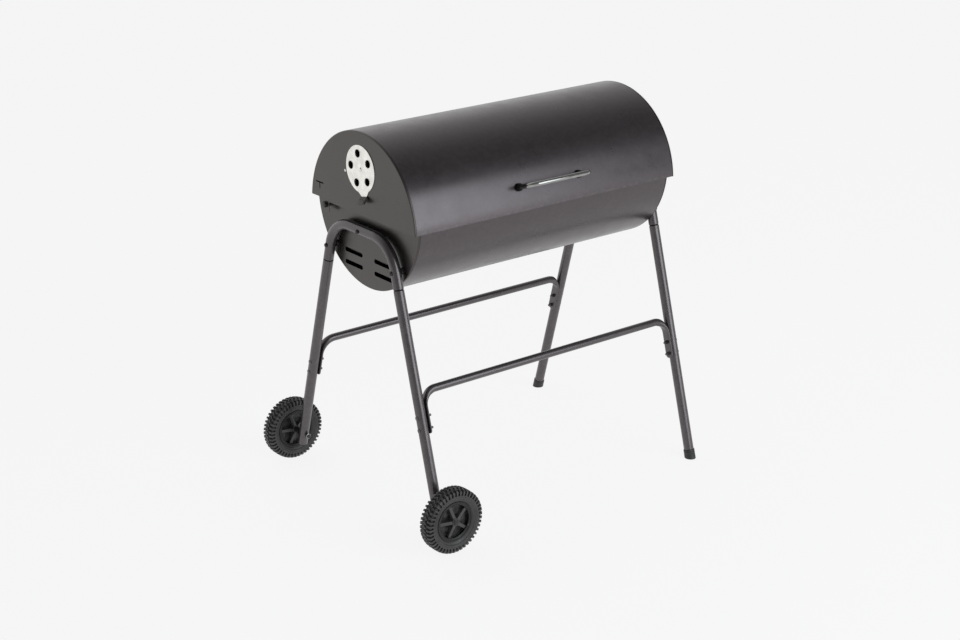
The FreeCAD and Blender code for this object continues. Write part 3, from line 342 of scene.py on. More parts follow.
def about(direction, place):
    """A matrix that stands a mesh turned about X along direction, at place."""
    turn = Vector((1, 0, 0)).rotation_difference(direction).to_matrix().to_4x4()
    return Matrix.Translation(place) @ turn


def moved(mesh, matrix):
    """The mesh itself, put elsewhere, its faces still outward."""
    mesh.transform(matrix)
    if matrix.determinant() < 0:
        mesh.flip_normals()
    return mesh


def skin(name, rings, closed_ends=False):
    """A surface over closed rings of equal length: capped at its ends, or joined end to end."""
    work = bmesh.new()
    grid = [[work.verts.new(p) for p in ring] for ring in rings]
    count = len(grid[0])
    for i in range(len(grid) if closed_ends else len(grid) - 1):
        here, after = grid[i], grid[(i + 1) % len(grid)]
        for j in range(count):
            k = (j + 1) % count
            work.faces.new((here[j], here[k], after[k], after[j]))
    if not closed_ends:
        work.faces.new(grid[0])
        work.faces.new(list(reversed(grid[-1])))
    return finish_mesh(name, work)


def arc(centre, radius, start, stop, steps):
    """Points on a circle in a plane, angles in radians."""
    turns = [start + (stop - start) * i / steps for i in range(steps + 1)]
    return [(centre[0] + radius * math.cos(a), centre[1] + radius * math.sin(a)) for a in turns]


def rounded(corners, radius, steps=4):
    """A closed outline whose corners are rounded; a corner may carry its own radius."""
    out = []
    count = len(corners)
    for i, corner in enumerate(corners):
        size = corner[2] if len(corner) > 2 else radius
        here = Vector(corner[:2])
        back = Vector(corners[i - 1][:2]) - here
        ahead = Vector(corners[(i + 1) % count][:2]) - here
        if size <= 0:
            out.append(tuple(here))
            continue
        half = back.angle(ahead) / 2
        run = min(size / math.tan(half), back.length * 0.49, ahead.length * 0.49)
        size = run * math.tan(half)
        inward = (back.normalized() + ahead.normalized()).normalized()
        centre = here + inward * size / math.sin(half)
        first = here + back.normalized() * run - centre
        last = here + ahead.normalized() * run - centre
        swing = first.angle_signed(last)
        for step in range(steps + 1):
            out.append(tuple(centre + Matrix.Rotation(-swing * step / steps, 2) @ first))
    return out


def lathe(name, profile, segments, axis="Y", centre=(0, 0, 0), start=0.0, sweep=TURN):
    """Turns a closed outline of (radius, along) points about the X or Y axis through centre."""
    full = sweep == TURN
    rings = []
    for i in range(segments if full else segments + 1):
        a = start + sweep * i / segments
        c, s = math.cos(a), math.sin(a)
        rings.append([(r * c, h, r * s) if axis == "Y" else (h, r * c, r * s) for r, h in profile])
    return moved(skin(name, rings, closed_ends=full), Matrix.Translation(centre))


def turned(name, profile, segments):
    """Turns an open outline about X and closes both its ends on the axis."""
    work = opened(lathe(name, profile + [(0, profile[-1][1]), (0, profile[0][1])], segments, "X"))
    bmesh.ops.remove_doubles(work, verts=work.verts, dist=WELD)
    bmesh.ops.dissolve_degenerate(work, edges=work.edges, dist=SLIVER)
    return finish_mesh(name, work)


def path_frames(points, side):
    """For each point of a path, its place, direction across (kept near side) and the third axis."""
    frames = []
    for i, p in enumerate(points):
        ahead = points[min(i + 1, len(points) - 1)] - points[max(i - 1, 0)]
        ahead.normalize()
        across = (side - ahead * side.dot(ahead)).normalized()
        frames.append((p, across, ahead.cross(across)))
    return frames


def tube(name, points, radius, bore=None, side=Vector((1, 0, 0)), segments=32, lip=0.0004):
    """A round tube along a path, with lightly rounded ends, hollow where it has a bore."""
    start = (points[1] - points[0]).normalized()
    end = (points[-1] - points[-2]).normalized()
    run = [points[0], points[0] + start * lip] + points[1:-1] + [points[-1] - end * lip, points[-1]]
    sizes = [radius - lip] + [radius] * (len(run) - 2) + [radius - lip]
    frames = path_frames(run, side)
    if bore:
        frames = frames + frames[::-1]
        sizes = sizes + [bore] * len(sizes)
    rings = [[p + (u * math.cos(a) + v * math.sin(a)) * size
              for a in turns(segments)] for (p, u, v), size in zip(frames, sizes)]
    return skin(name, rings, closed_ends=bool(bore))


def bent_path(corners, steps=12):
    """A path through corner points (place, bend radius), with round bends."""
    out = []
    for i, (place, radius) in enumerate(corners):
        if radius <= 0:
            out.append(place)
            continue
        back = corners[i - 1][0] - place
        ahead = corners[i + 1][0] - place
        half = back.angle(ahead) / 2
        inward = (back.normalized() + ahead.normalized()).normalized()
        centre = place + inward * radius / math.sin(half)
        first = place + back.normalized() * radius / math.tan(half) - centre
        last = place + ahead.normalized() * radius / math.tan(half) - centre
        axis = first.cross(last).normalized()
        swing = first.angle(last)
        for step in range(steps + 1):
            out.append(centre + Matrix.Rotation(swing * step / steps, 3, axis) @ first)
    return out


def plate(name, outlines, thick):
    """A flat plate in the YZ plane from closed outlines of (y, z), the first outside and the rest
    holes, centred on x = 0, with its edges rounded."""
    soft = thick * EDGE_SHARE
    curve = bpy.data.curves.new(name, "CURVE")
    curve.dimensions = "2D"
    curve.fill_mode = "BOTH"
    curve.extrude = thick / 2 - soft
    curve.bevel_depth = soft
    curve.bevel_resolution = 1
    curve.offset = -soft
    for line in outlines:
        spline = curve.splines.new("POLY")
        spline.points.add(len(line) - 1)
        for point, (y, z) in zip(spline.points, line):
            point.co = (y, z, 0, 1)
        spline.use_cyclic_u = True
    holder = bpy.data.objects.new(name, curve)
    mesh = bpy.data.meshes.new_from_object(holder)
    bpy.data.objects.remove(holder)
    bpy.data.curves.remove(curve)
    work = opened(mesh)
    bmesh.ops.remove_doubles(work, verts=work.verts, dist=PLATE_WELD)
    return moved(finish_mesh(name, work), Matrix(((0, 0, 1, 0), (1, 0, 0, 0), (0, 1, 0, 0), (0, 0, 0, 1))))


def ring_points(y, z, radius, count=32):
    return arc((y, z), radius, 0, TURN, count)[:-1]


def slot_points(y, z, length, width, steps=8):
    """A round-ended slot lying along Y."""
    half = length / 2 - width / 2
    return (arc((y + half, z), width / 2, -math.pi / 2, math.pi / 2, steps)
            + arc((y - half, z), width / 2, math.pi / 2, 3 * math.pi / 2, steps))


HEX_STEPS = 24


def hex_head(name, low, high, outward):
    """A chamfered hexagon along X or Y that fills a box, its face towards outward."""
    axis = 0 if abs(outward.x) > 0.5 else 1
    height = high[axis] - low[axis]
    radius = (high.z - low.z) / 2 if axis == 1 else (high.y - low.y) / 2
    apothem = radius * math.cos(math.pi / 6)
    rings = []
    for level, size, softness in ((0, radius, 0), (0.72, radius, 0), (0.9, radius * 0.98, 0.45),
                                  (1, apothem * 0.92, 1), (1, apothem * 0.45, 1)):
        ring = []
        for a in turns(HEX_STEPS):
            flat = apothem / math.cos((a + math.pi / 6) % (math.pi / 3) - math.pi / 6)
            reach = min(flat, size) * (1 - softness) + size * softness
            ring.append((height * level, reach * math.cos(a), reach * math.sin(a)))
        rings.append(ring)
    return moved(skin(name, rings), about(outward, (low + high) / 2 - outward * height / 2))


# ---- rolled sheets and end plates
SKIN = 0.0012
FLANGE_ROUND = 0.0026
FLANGE_LIP = 0.001
FLANGE_DEEP = 0.012
FLANGE_SINK = 1.2
SEAM = 0.0009
HEM = 0.0017
RIM_STEPS = 120


def drum_sheet(name, radius, level, start, stop, left, right, steps=96):
    """A rolled sheet along X between two angles in the YZ plane, both long edges hemmed inwards."""
    inset = FLANGE_ROUND + FLANGE_LIP + SEAM
    first, last = start + HEM / radius, stop - HEM / radius
    section = (arc((0, level), radius, first, last, steps)
               + arc((0, level), radius - SKIN, last, first, steps))
    soft = SKIN * EDGE_SHARE
    rings = []
    for x, shrink in ((left + inset, soft), (left + inset + soft, 0), (right - inset - soft, 0),
                      (right - inset, soft)):
        ring = []
        for k, (y, z) in enumerate(section):
            out = Vector((y, z - level)).normalized()
            pull = -shrink if k <= steps else shrink
            ring.append((x, y + out.x * pull, z + out.y * pull))
        rings.append(ring)
    parts = [skin(f"{name}_sheet", rings)]
    for angle in (first, last):
        y = (radius - HEM) * math.cos(angle)
        z = level + (radius - HEM) * math.sin(angle)
        parts.append(tube(f"{name}_hem", [Vector((x, y, z)) for x in (left + inset, right - inset)], HEM,
                          side=Vector((0, 1, 0)), segments=16))
    return joined(name, parts)


def end_pan(name, sign, face, radius, level, outline, holes, start, stop):
    """An end plate: its flat face, and the flange that turns round the curved edge into the drum."""
    inner = radius - FLANGE_ROUND
    flat = plate(f"{name}_flat", [outline] + holes, PLATE)
    moved(flat, Matrix.Translation((face - sign * PLATE / 2, 0, 0)))
    under = radius - SKIN * FLANGE_SINK
    profile = [(inner, 0)]
    for k in range(1, 7):
        a = math.pi / 12 * k
        profile.append((inner + FLANGE_ROUND * math.sin(a), FLANGE_ROUND * (1 - math.cos(a))))
    profile += [(radius, FLANGE_ROUND + FLANGE_LIP), (under, FLANGE_ROUND + FLANGE_LIP + SEAM / 3),
                (under, FLANGE_DEEP), (under - PLATE, FLANGE_DEEP), (under - PLATE, FLANGE_ROUND),
                (inner, PLATE)]
    rim = lathe(f"{name}_rim", [(r, face - sign * a) for r, a in profile], RIM_STEPS, "X", (0, 0, level),
                start, stop - start)
    return joined(name, [flat, rim])


def height_angle(radius, level, height, rear):
    """The angle in the YZ plane at which a drum's edge is at a height, at the rear or the front."""
    a = math.asin((height - level) / radius)
    return a if rear else math.pi - a


# ---- lid
LID_FRONT = height_angle(LID_R, LID_Z, LID_LOW.z, False)
LID_REAR = math.acos(LID_HIGH.y / LID_R)
LUG_HALF = 0.016
LUG_ROUND = 0.004
REAR_CORNER = 0.742
STOP_SLOT = (0.175, 0.7785)
STOP_LONG, STOP_WIDE, STOP_DROP = 0.031, 0.003, 0.014
VENT_HOLES = 5
VENT_CIRCLE = 0.0375
VENT_HOLE = 0.01
PLATE_HOLE = 0.0088
VENT_TURN = math.radians(4.7)


def vent_places():
    """The centres of the vent holes, round the damper's pivot."""
    turns = [VENT_TURN + TURN * k / VENT_HOLES for k in range(VENT_HOLES)]
    return [(VENT.y + VENT_CIRCLE * math.cos(a), VENT.z + VENT_CIRCLE * math.sin(a)) for a in turns]


def lid_ends():
    lug_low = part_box("lid_end_left")[0].z
    inner = LID_R - FLANGE_ROUND
    rear = height_angle(LID_R, LID_Z, REAR_CORNER, True)
    half_long, half_wide = STOP_LONG / 2, STOP_WIDE / 2
    stop = [(half_wide, -half_wide - STOP_DROP), (half_wide, -half_wide), (half_long, -half_wide),
            (half_long, half_wide)]
    stop += [(-y, z) for y, z in reversed(stop)]
    for side, sign in SIDES:
        face = LEFT_END if side == "left" else RIGHT_END
        rim = [(y, z, 0) for y, z in arc((0, LID_Z), inner, LID_FRONT, rear, RIM_STEPS)]
        corners = rim + [(HINGE.y + LUG_HALF, REAR_CORNER, LUG_ROUND),
                         (HINGE.y + LUG_HALF, lug_low, LUG_ROUND),
                         (HINGE.y - LUG_HALF, lug_low, LUG_ROUND),
                         (HINGE.y - LUG_HALF, LID_LOW.z, LUG_ROUND)]
        holes = [rounded([(STOP_SLOT[0] + y, STOP_SLOT[1] + z) for y, z in stop], STOP_WIDE / 4, 2)]
        if side == "left":
            holes += [ring_points(y, z, PLATE_HOLE) for y, z in vent_places()]
        mesh = end_pan(f"lid_end_{side}", sign, face, LID_R, LID_Z, rounded(corners, 0), holes,
                       rear, LID_FRONT)
        # Painted shade: the plate takes the dimmer, warmer copy of the barrel enamel.
        piece(f"lid_{side}_end_plate", mesh, SHADED_PLATES, "lid", "barrel_enamel", f"lid_end_{side}",
              level=True)


def lid():
    mesh = drum_sheet("lid_sheet", LID_R, LID_Z, LID_REAR, LID_FRONT, LEFT_END, RIGHT_END)
    piece("lid_sheet", mesh, BARREL, "lid", "barrel_enamel", "lid_shell")
    lid_ends()


# ---- handle
ROD = 0.006
ROD_START = 0.0012
HANDLE_BEND = 0.028
COLLAR_R, COLLAR_HIGH = 0.0095, 0.012
COLLAR_SINK, SCREW_SINK = 0.0004, 0.0002
SCREW_HEAD = [(0.0056, 0), (0.0056, 0.0018), (0.0042, 0.0036), (0.0018, 0.0042)]
COLLAR = middle("handle_collars")
HANDLE_RISE = math.atan2(COLLAR.z - LID_Z, -COLLAR.y)
OUTWARD = Vector((0, -math.cos(HANDLE_RISE), math.sin(HANDLE_RISE)))


def handle():
    low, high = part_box("lid_handle")
    reach = (-low.y - ROD) / OUTWARD.dot(Vector((0, -1, 0)))
    base = LID_R + ROD_START
    corners = []
    for x, first, last in ((low.x + ROD, base, reach), (high.x - ROD, reach, base)):
        centre = Vector((x, 0, LID_Z))
        corners += [(centre + OUTWARD * first, 0 if first == base else HANDLE_BEND),
                    (centre + OUTWARD * last, 0 if last == base else HANDLE_BEND)]
    rod = tube("handle_rod", bent_path(corners, 16), ROD, side=Vector((0, 0.3, 1)), segments=40)
    piece("handle_rod", rod, CHROME, "lid", "chrome", "lid_handle")
    collars, screws = [], []
    profile = [(ROD + FIT, 0.0002), (COLLAR_R, 0.0002), (COLLAR_R + 0.0004, 0.001),
               (COLLAR_R, COLLAR_HIGH * 0.55), (COLLAR_R * 0.86, COLLAR_HIGH * 0.9),
               (COLLAR_R * 0.76, COLLAR_HIGH), (ROD + FIT, COLLAR_HIGH)]
    for low, high in solids("handle_collars"):
        centre = Vector(((low.x + high.x) / 2, 0, LID_Z))
        foot = centre + OUTWARD * (LID_R - COLLAR_SINK)
        collars.append(moved(lathe("collar", profile, 40, "X"), about(OUTWARD, foot)))
        back = centre + OUTWARD * (LID_R - SKIN - SCREW_SINK)
        screws.append(moved(turned("screw", SCREW_HEAD, 24), about(-OUTWARD, back)))
    piece("handle_ferrules", joined("handle_ferrules", collars), FERRULE, "lid", "black_plastic",
          "handle_collars")
    piece("handle_screw_heads", joined("handle_screw_heads", screws), ZINC, "lid", "zinc",
          "handle_screws")


# ---- vent damper
TAB_TURN = math.radians(13)
TAB_SPREAD = math.radians(21)
TAB_REACH = 0.068
TAB_HALF, TAB_ROUND = 0.007, 0.002
DISC_ROOM = 0.0002
GRIP_LONG, GRIP_WIDE, GRIP_HIGH = 0.02, 0.027, 0.006
GRIP_DROOP = math.radians(45)
GRIP_OUT, GRIP_DROP = 0.011, 0.014
GRIP_ROUND, GRIP_TAPER = 0.0013, 0.94
GRIP_RIBS, GRIP_RIB_HALF, GRIP_RIB_R = 3, 0.0095, 0.0008
DISC_LIP = [(VENT_HOLE - FIT, 0), (VENT_HOLE + 0.0014, 0), (VENT_HOLE + 0.0009, 0.0005),
            (VENT_HOLE + 0.0003, 0.0007), (VENT_HOLE - FIT, 0.0005)]


def damper():
    low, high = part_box("vent_damper")
    radius = (high.y - low.y) / 2
    down = -math.pi / 2 - TAB_TURN
    start, stop = down + TAB_SPREAD, down - TAB_SPREAD + TURN
    rim = [(y, z, 0) for y, z in arc((VENT.y, VENT.z), radius - DISC_ROOM, start, stop, 96)]
    along = Vector((math.cos(down), math.sin(down)))
    across = Vector((-along.y, along.x))
    tip = [Vector((VENT.y, VENT.z)) + along * TAB_REACH + across * TAB_HALF * k for k in (-1, 1)]
    outline = rounded(rim + [(*p, TAB_ROUND) for p in tip], 0)
    holes = [ring_points(y, z, VENT_HOLE) for y, z in vent_places()]
    disc = moved(plate("damper_disc", [outline] + holes, high.x - low.x),
                 Matrix.Translation(((low.x + high.x) / 2, 0, 0)))
    parts = [disc]
    for y, z in vent_places():
        lip = lathe("lip", DISC_LIP, 32, "X")
        parts.append(moved(lip, about(TO_LEFT, Vector((low.x, y, z)))))
    piece("damper_disc", joined("damper_disc", parts), DISC, "damper", "bright_plate", "vent_damper",
          level=True)
    grip(low.x)
    rivets(low.x)


def grip(face):
    """The moulded grip over the bent tab: a wedge that droops outwards, ribbed on its outer face."""
    work = bmesh.new()
    bmesh.ops.create_cube(work, size=1)
    bmesh.ops.scale(work, vec=(GRIP_LONG, GRIP_WIDE, GRIP_HIGH), verts=work.verts)
    for vert in work.verts:
        if vert.co.x < 0:
            vert.co.y *= GRIP_TAPER
    bmesh.ops.bevel(work, geom=work.edges[:], offset=GRIP_ROUND, segments=3, affect="EDGES", profile=0.5)
    seat = Matrix.Translation((face - GRIP_OUT, 0, -TAB_REACH - GRIP_DROP)) @ Matrix.Rotation(
        -GRIP_DROOP, 4, "Y") @ Matrix.Translation((GRIP_LONG / 2, 0, GRIP_HIGH / 2))
    bmesh.ops.transform(work, matrix=seat, verts=work.verts)
    sliced(work, (face - 0.00005, 0, 0), (1, 0, 0))
    parts = [finish_mesh("grip_block", work)]
    for k in range(GRIP_RIBS):
        x = GRIP_LONG * (0.2 + 0.22 * k)
        ends = [Vector((x, y, GRIP_HIGH - FIT)) for y in (-GRIP_RIB_HALF, GRIP_RIB_HALF)]
        bar = tube("grip_rib", ends, GRIP_RIB_R, side=UP, segments=10, lip=0.0003)
        parts.append(moved(bar, seat @ Matrix.Translation((-GRIP_LONG / 2, 0, -GRIP_HIGH / 2))))
    place = Matrix.Translation((0, VENT.y, VENT.z)) @ Matrix.Rotation(-TAB_TURN, 4, "X")
    mesh = moved(joined("grip", parts), place)
    piece("damper_grip", mesh, GRIP, "damper", "black_plastic", "vent_grip")


def rivets(face):
    low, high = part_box("vent_rivet")
    head = (high.y - low.y) / 2
    dome = [(head * math.cos(a), 0.0003 + (face - low.x) * math.sin(a) * 0.9)
            for a in (math.pi / 2 * k / 8 for k in range(8))]
    mesh = turned("rivet", [(head * 0.6, -0.004), (head * 0.6, 0.0002)] + dome, 32)
    moved(mesh, about(TO_LEFT, Vector((face, VENT.y, VENT.z))))
    piece("vent_rivet_head", mesh, DISC, "lid", "bright_plate", "vent_rivet")
    low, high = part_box("vent_stop_screw")
    radius = (high.y - low.y) / 2
    place = Vector((LEFT_END, (low.y + high.y) / 2, (low.z + high.z) / 2))
    head = [(radius, 0), (radius, 0.0012), (radius * 0.86, 0.002), (radius * 0.5, 0.0025),
            (radius * 0.42, 0.0019)]
    mesh = moved(turned("stop", [(radius * 0.4, -0.004), (radius * 0.4, 0)] + head, 24),
                 about(TO_LEFT, place))
    piece("vent_stop_screw_head", mesh, DISC, "lid", "bright_plate", "vent_stop_screw")


# ---- fire bowl
SLOT_OUT = 0.0605
SLOT_LONG, SLOT_WIDE = 0.073, 0.011
SLOT_LEVELS = (0.628, 0.597)


def bowl():
    rim = BOWL_HIGH.z
    front = height_angle(BOWL_R, BOWL_Z, rim, False)
    rear = height_angle(BOWL_R, BOWL_Z, rim, True) + TURN
    mesh = drum_sheet("bowl_sheet", BOWL_R, BOWL_Z, front, rear, BOWL_LEFT, BOWL_RIGHT)
    piece("bowl_sheet", mesh, BARREL, "frame", "barrel_enamel", "bowl_shell")
    for side, sign in SIDES:
        face = BOWL_LEFT if side == "left" else BOWL_RIGHT
        outline = arc((0, BOWL_Z), BOWL_R - FLANGE_ROUND, front, rear, RIM_STEPS)
        holes = [slot_points(across * SLOT_OUT, level, SLOT_LONG, SLOT_WIDE)
                 for _, across in ROWS for level in SLOT_LEVELS]
        mesh = end_pan(f"bowl_end_{side}", sign, face, BOWL_R, BOWL_Z, outline, holes, front, rear)
        # Painted shade: the plate takes the dimmer, warmer copy of the barrel enamel.
        piece(f"bowl_{side}_end_plate", mesh, SHADED_PLATES, "frame", "barrel_enamel", f"bowl_end_{side}",
              level=True)


# ---- legs
SPLAY = math.radians(15.5)
LEG_BORE = LEG_R - 0.0012
ARCH_TOP = ARCH_HIGH.z - LEG_R
ARCH_BEND = 0.085
JOINT = 0.593
JOINT_GAP = 0.0012
JOINT_ROUND = 0.0009
SPIGOT_UP, SPIGOT_DOWN = 0.02, 0.03
SPIGOT_WALL = 0.0012
LEG_END = {"left": 0.052, "right": 0.0045}
CAP_R, CAP_TOP, CAP_FLOOR = 0.0145, 0.0222, 0.021
FEET = [Vector(m["pos_m"]) for m in frame["record"]["mounts"] if m["name"].startswith("foot")]
LEG_FOOT = max(p.y for p in FEET)


def on_leg(x, across, height):
    """The point of a leg's centre line at a height."""
    return Vector((x, across * (LEG_FOOT - height * math.tan(SPLAY)), height))


def down_leg(across):
    return Vector((0, across * math.sin(SPLAY), -math.cos(SPLAY)))


def legs():
    for side, _ in SIDES:
        x = LEG_X[side]
        joint = JOINT + JOINT_GAP
        corners = [(on_leg(x, -1, joint), 0), (on_leg(x, -1, ARCH_TOP), ARCH_BEND),
                   (on_leg(x, 1, ARCH_TOP), ARCH_BEND), (on_leg(x, 1, joint), 0)]
        arch = tube("arch", bent_path(corners, 24), LEG_R, LEG_BORE, segments=40)
        spigots = []
        for _, across in ROWS:
            ends = [on_leg(x, across, h) for h in (joint + SPIGOT_UP, JOINT - SPIGOT_DOWN)]
            spigots.append(tube("spigot", ends, LEG_BORE - FIT, LEG_BORE - FIT - SPIGOT_WALL, segments=40))
        piece(f"{side}_arch_tube", arch, LEGS, "frame", "leg_enamel", f"leg_arch_{side}")
        # The spigots take the near-black ferrule plastic, not the leg enamel, as painted shade in the
        # joint gap.
        piece(f"{side}_arch_spigots_painted_shade", joined("spigots", spigots), FERRULE, "frame", "leg_enamel")
        for row, across in ROWS:
            node = f"leg_lower_{row}_{side}"
            ends = [on_leg(x, across, h) for h in (JOINT - JOINT_GAP, LEG_END[side])]
            mesh = tube(node, ends, LEG_R, LEG_BORE, segments=40, lip=JOINT_ROUND)
            piece(f"{row}_{side}_leg_tube", mesh, LEGS, "frame", "leg_enamel", node)
    plugs = []
    for row, across in ROWS:
        foot = on_leg(LEG_X["left"], across, LEG_END["left"])
        profile = [(LEG_BORE - 0.0003, -0.012), (LEG_BORE - FIT, 0), (LEG_R, 0), (LEG_R, 0.0012),
                   (LEG_R * 0.9, 0.0022), (LEG_R * 0.4, 0.0025)]
        plugs.append(moved(turned("plug", profile, 40), about(down_leg(across), foot)))
        foot_cap(row, across)
    piece("leg_end_plugs", joined("plugs", plugs), PLASTIC, "frame", "black_plastic", "leg_plugs")


def foot_cap(row, across):
    """A ribbed sleeve over the leg's end, cut flat along the floor."""
    top = on_leg(LEG_X["right"], across, CAP_TOP)
    length = CAP_TOP / math.cos(SPLAY) + 0.008
    profile = [(LEG_R * 0.3, CAP_FLOOR), (LEG_R + FIT, CAP_FLOOR), (LEG_R + FIT, 0), (CAP_R - 0.0009, 0),
               (CAP_R - 0.0003, 0.0006)]
    for start in (0.003, 0.007):
        profile += [(CAP_R - 0.0003, start), (CAP_R, start + 0.0005), (CAP_R, start + 0.0015),
                    (CAP_R - 0.0003, start + 0.002)]
    profile += [(CAP_R - FIT, 0.014), (CAP_R, length), (LEG_R * 0.3, length)]
    work = opened(moved(lathe("cap", profile, 48, "X"), about(down_leg(across), top)))
    sliced(work, (0, 0, 0.0002), (0, 0, -1))
    piece(f"{row}_foot", finish_mesh(f"{row}_foot", work), PLASTIC, "frame", "black_plastic",
          f"foot_cap_{row}")


# ---- stretchers
RAIL_R = 0.0095
RAIL_LEVEL = 0.357
RAIL_BEND = 0.036
RAIL_PRESS = (0.35, 1.45)
RAIL_END = 0.101
RAIL_FLAT = (0.0024, 0.0124)
RAIL_SEAT = 0.0002
RAIL_TIP = 0.009
RAIL_STEPS = 40
RAIL_SQUARE = 0.45
BEND_STEPS, TIP_STEPS = 24, 8


def stretcher(row, across):
    """A tube whose ends turn down along the legs, pressed flat through the bend."""
    down = down_leg(across)
    level = on_leg(0, across, RAIL_LEVEL)
    wide = Vector((1, 0, 0)).cross(down)
    half_flat, half_wide = RAIL_FLAT
    reach = (LEG_X["right"] - LEG_X["left"]) / 2 - LEG_R - RAIL_SEAT - half_flat
    stations = []
    for k in range(BEND_STEPS + 1):
        turn = math.pi / 2 * k / BEND_STEPS
        press = min(max((turn - RAIL_PRESS[0]) / (RAIL_PRESS[1] - RAIL_PRESS[0]), 0), 1)
        stations.append((reach - RAIL_BEND * (1 - math.sin(turn)), RAIL_BEND * (1 - math.cos(turn)), turn,
                         press * press * (3 - 2 * press), 1.0))
    for k in range(TIP_STEPS + 1):
        turn = math.pi / 2 * k / TIP_STEPS
        stations.append((reach, RAIL_END - RAIL_TIP + RAIL_TIP * math.sin(turn), math.pi / 2, 1.0,
                         1 - (1 - math.cos(turn)) * RAIL_TIP / half_wide * 0.95))
    rings = []
    for sign, order in ((-1, stations[::-1]), (1, stations)):
        for out, drop, turn, press, tip in order:
            centre = Vector((BARREL_X + sign * out, 0, 0)) + level + down * drop
            thick = Vector((sign * math.sin(turn), 0, 0)) - down * math.cos(turn)
            size_thick = RAIL_R + (half_flat - RAIL_R) * press
            size_wide = (RAIL_R + (half_wide - RAIL_R) * press) * tip
            power = 1 - RAIL_SQUARE * press
            ring = []
            for a in turns(RAIL_STEPS):
                c, s = math.cos(a), math.sin(a)
                u = math.copysign(abs(c) ** power, c) * size_wide
                v = math.copysign(abs(s) ** power, s) * size_thick * min(1, tip + 0.3)
                ring.append(centre + wide * u + thick * v)
            rings.append(ring)
    piece(f"{row}_stretcher_tube", skin(f"{row}_stretcher", rings), LEGS, "frame", "leg_enamel",
          f"stretcher_{row}")


# ---- fasteners
def round_head(name, place, outward, radius, height):
    """A domed head with a soft rim."""
    profile = [(radius * 0.9, -0.0002), (radius, 0.0002), (radius, height * 0.25)]
    profile += [(radius * math.cos(a), height * (0.25 + 0.75 * math.sin(a)))
                for a in (math.pi / 2 * k / 8 for k in range(1, 8))]
    return moved(turned(name, profile, 28), about(outward, place))


def shank(name, start, stop, radius):
    return tube(name, [start, stop], radius, side=UP, segments=20, lip=0.0005)


def outwards(x):
    return Vector((-1 if x < BARREL_X else 1, 0, 0))


def bolts(name, node, shaft, head, slot, material, hexagonal):
    """Bolts along X: each head is at the outer end of its CAD solid."""
    parts = []
    for low, high in solids(node):
        centre = (low + high) / 2
        out = outwards(centre.x)
        half_long, radius = out * (high.x - low.x) / 2, (high.z - low.z) / 2
        tip, tail = centre + half_long, centre - half_long
        near = tip - out * head
        parts.append(shank("shank", tip - out * head * 0.5, tail, shaft))
        if hexagonal:
            corner_low = Vector((min(tip.x, near.x), low.y, centre.z - radius))
            corner_high = Vector((max(tip.x, near.x), high.y, centre.z + radius))
            parts.append(hex_head("head", corner_low, corner_high, out))
        else:
            parts.append(round_head("head", near, out, radius, head * 0.98))
    piece(name, joined(name, parts), material, "frame", slot, node)


def nuts(name, node, slot, material):
    """Chamfered hexagon nuts along X, each face towards the inside of the grill."""
    parts = [hex_head("nut", low, high, -outwards((low.x + high.x) / 2)) for low, high in solids(node)]
    piece(name, joined(name, parts), material, "frame", slot, node)


def fasteners():
    bolts("hinge_bolt_heads", "hinge_bolts", 0.004, 0.0053, "black_steel", STEEL, True)
    bolts("arch_bolt_heads", "arch_bolts", 0.003, 0.0045, "black_steel", STEEL, False)
    bolts("stretcher_bolt_heads", "stretcher_bolts", 0.003, 0.001, "black_steel", LEGS, False)
    nuts("hinge_lock_nuts", "hinge_nuts", "zinc", ZINC)
    nuts("arch_lock_nuts", "arch_nuts", "zinc", ZINC)
    nuts("stretcher_lock_nuts", "stretcher_nuts", "black_steel", STEEL)


# ---- wheels
LUGS = 46
LUG_DEEP = 0.0052
LUG_STEPS = ((0.0, 0), (0.1, 1), (0.32, 1), (0.54, 1), (0.64, 0), (0.82, 0))
CHEVRON = 0.75
CHEVRON_HALF = 0.0115
BLOCK_START = 0.009
CROWN_SHARE = 0.6
SHOULDER = 0.0138
WALL_SHARE, WALL_KEEP = 0.9, 0.45


def tyre_section():
    """Half of the tyre's outside, from the crown to the bead: (across, radius, tread share)."""
    r, w = WHEEL_R, WHEEL_HALF
    half = [(0.0, r - 0.0001, 1), (0.0038, r - 0.0001, 1), (0.0066, r - 0.0002, 1), (0.0072, r - 0.003, 0),
            (0.0088, r - 0.003, 0), (0.0094, r - 0.0003, 1), (SHOULDER, r - 0.0006, 1),
            (w - 0.0046, r - 0.0014, 1), (w - 0.0022, r - 0.0034, 1), (w - 0.0012, r - 0.0062, 1),
            (w - 0.0009, r - 0.0105, 1), (w - 0.0009, r - 0.0128, 0.8), (w - 0.001, r - 0.0138, 0)]
    for k in range(9):
        ridge = 0.0011 if k in (2, 5) else 0
        half.append((w - 0.0012 - 0.0034 * (k / 8) ** 2 + ridge, r - 0.0148 - 0.0126 * k / 8, 0))
    half += [(w - 0.0052, RIM_R + 0.0018, 0), (w - 0.0062, RIM_R + 0.0002, 0)]
    return half


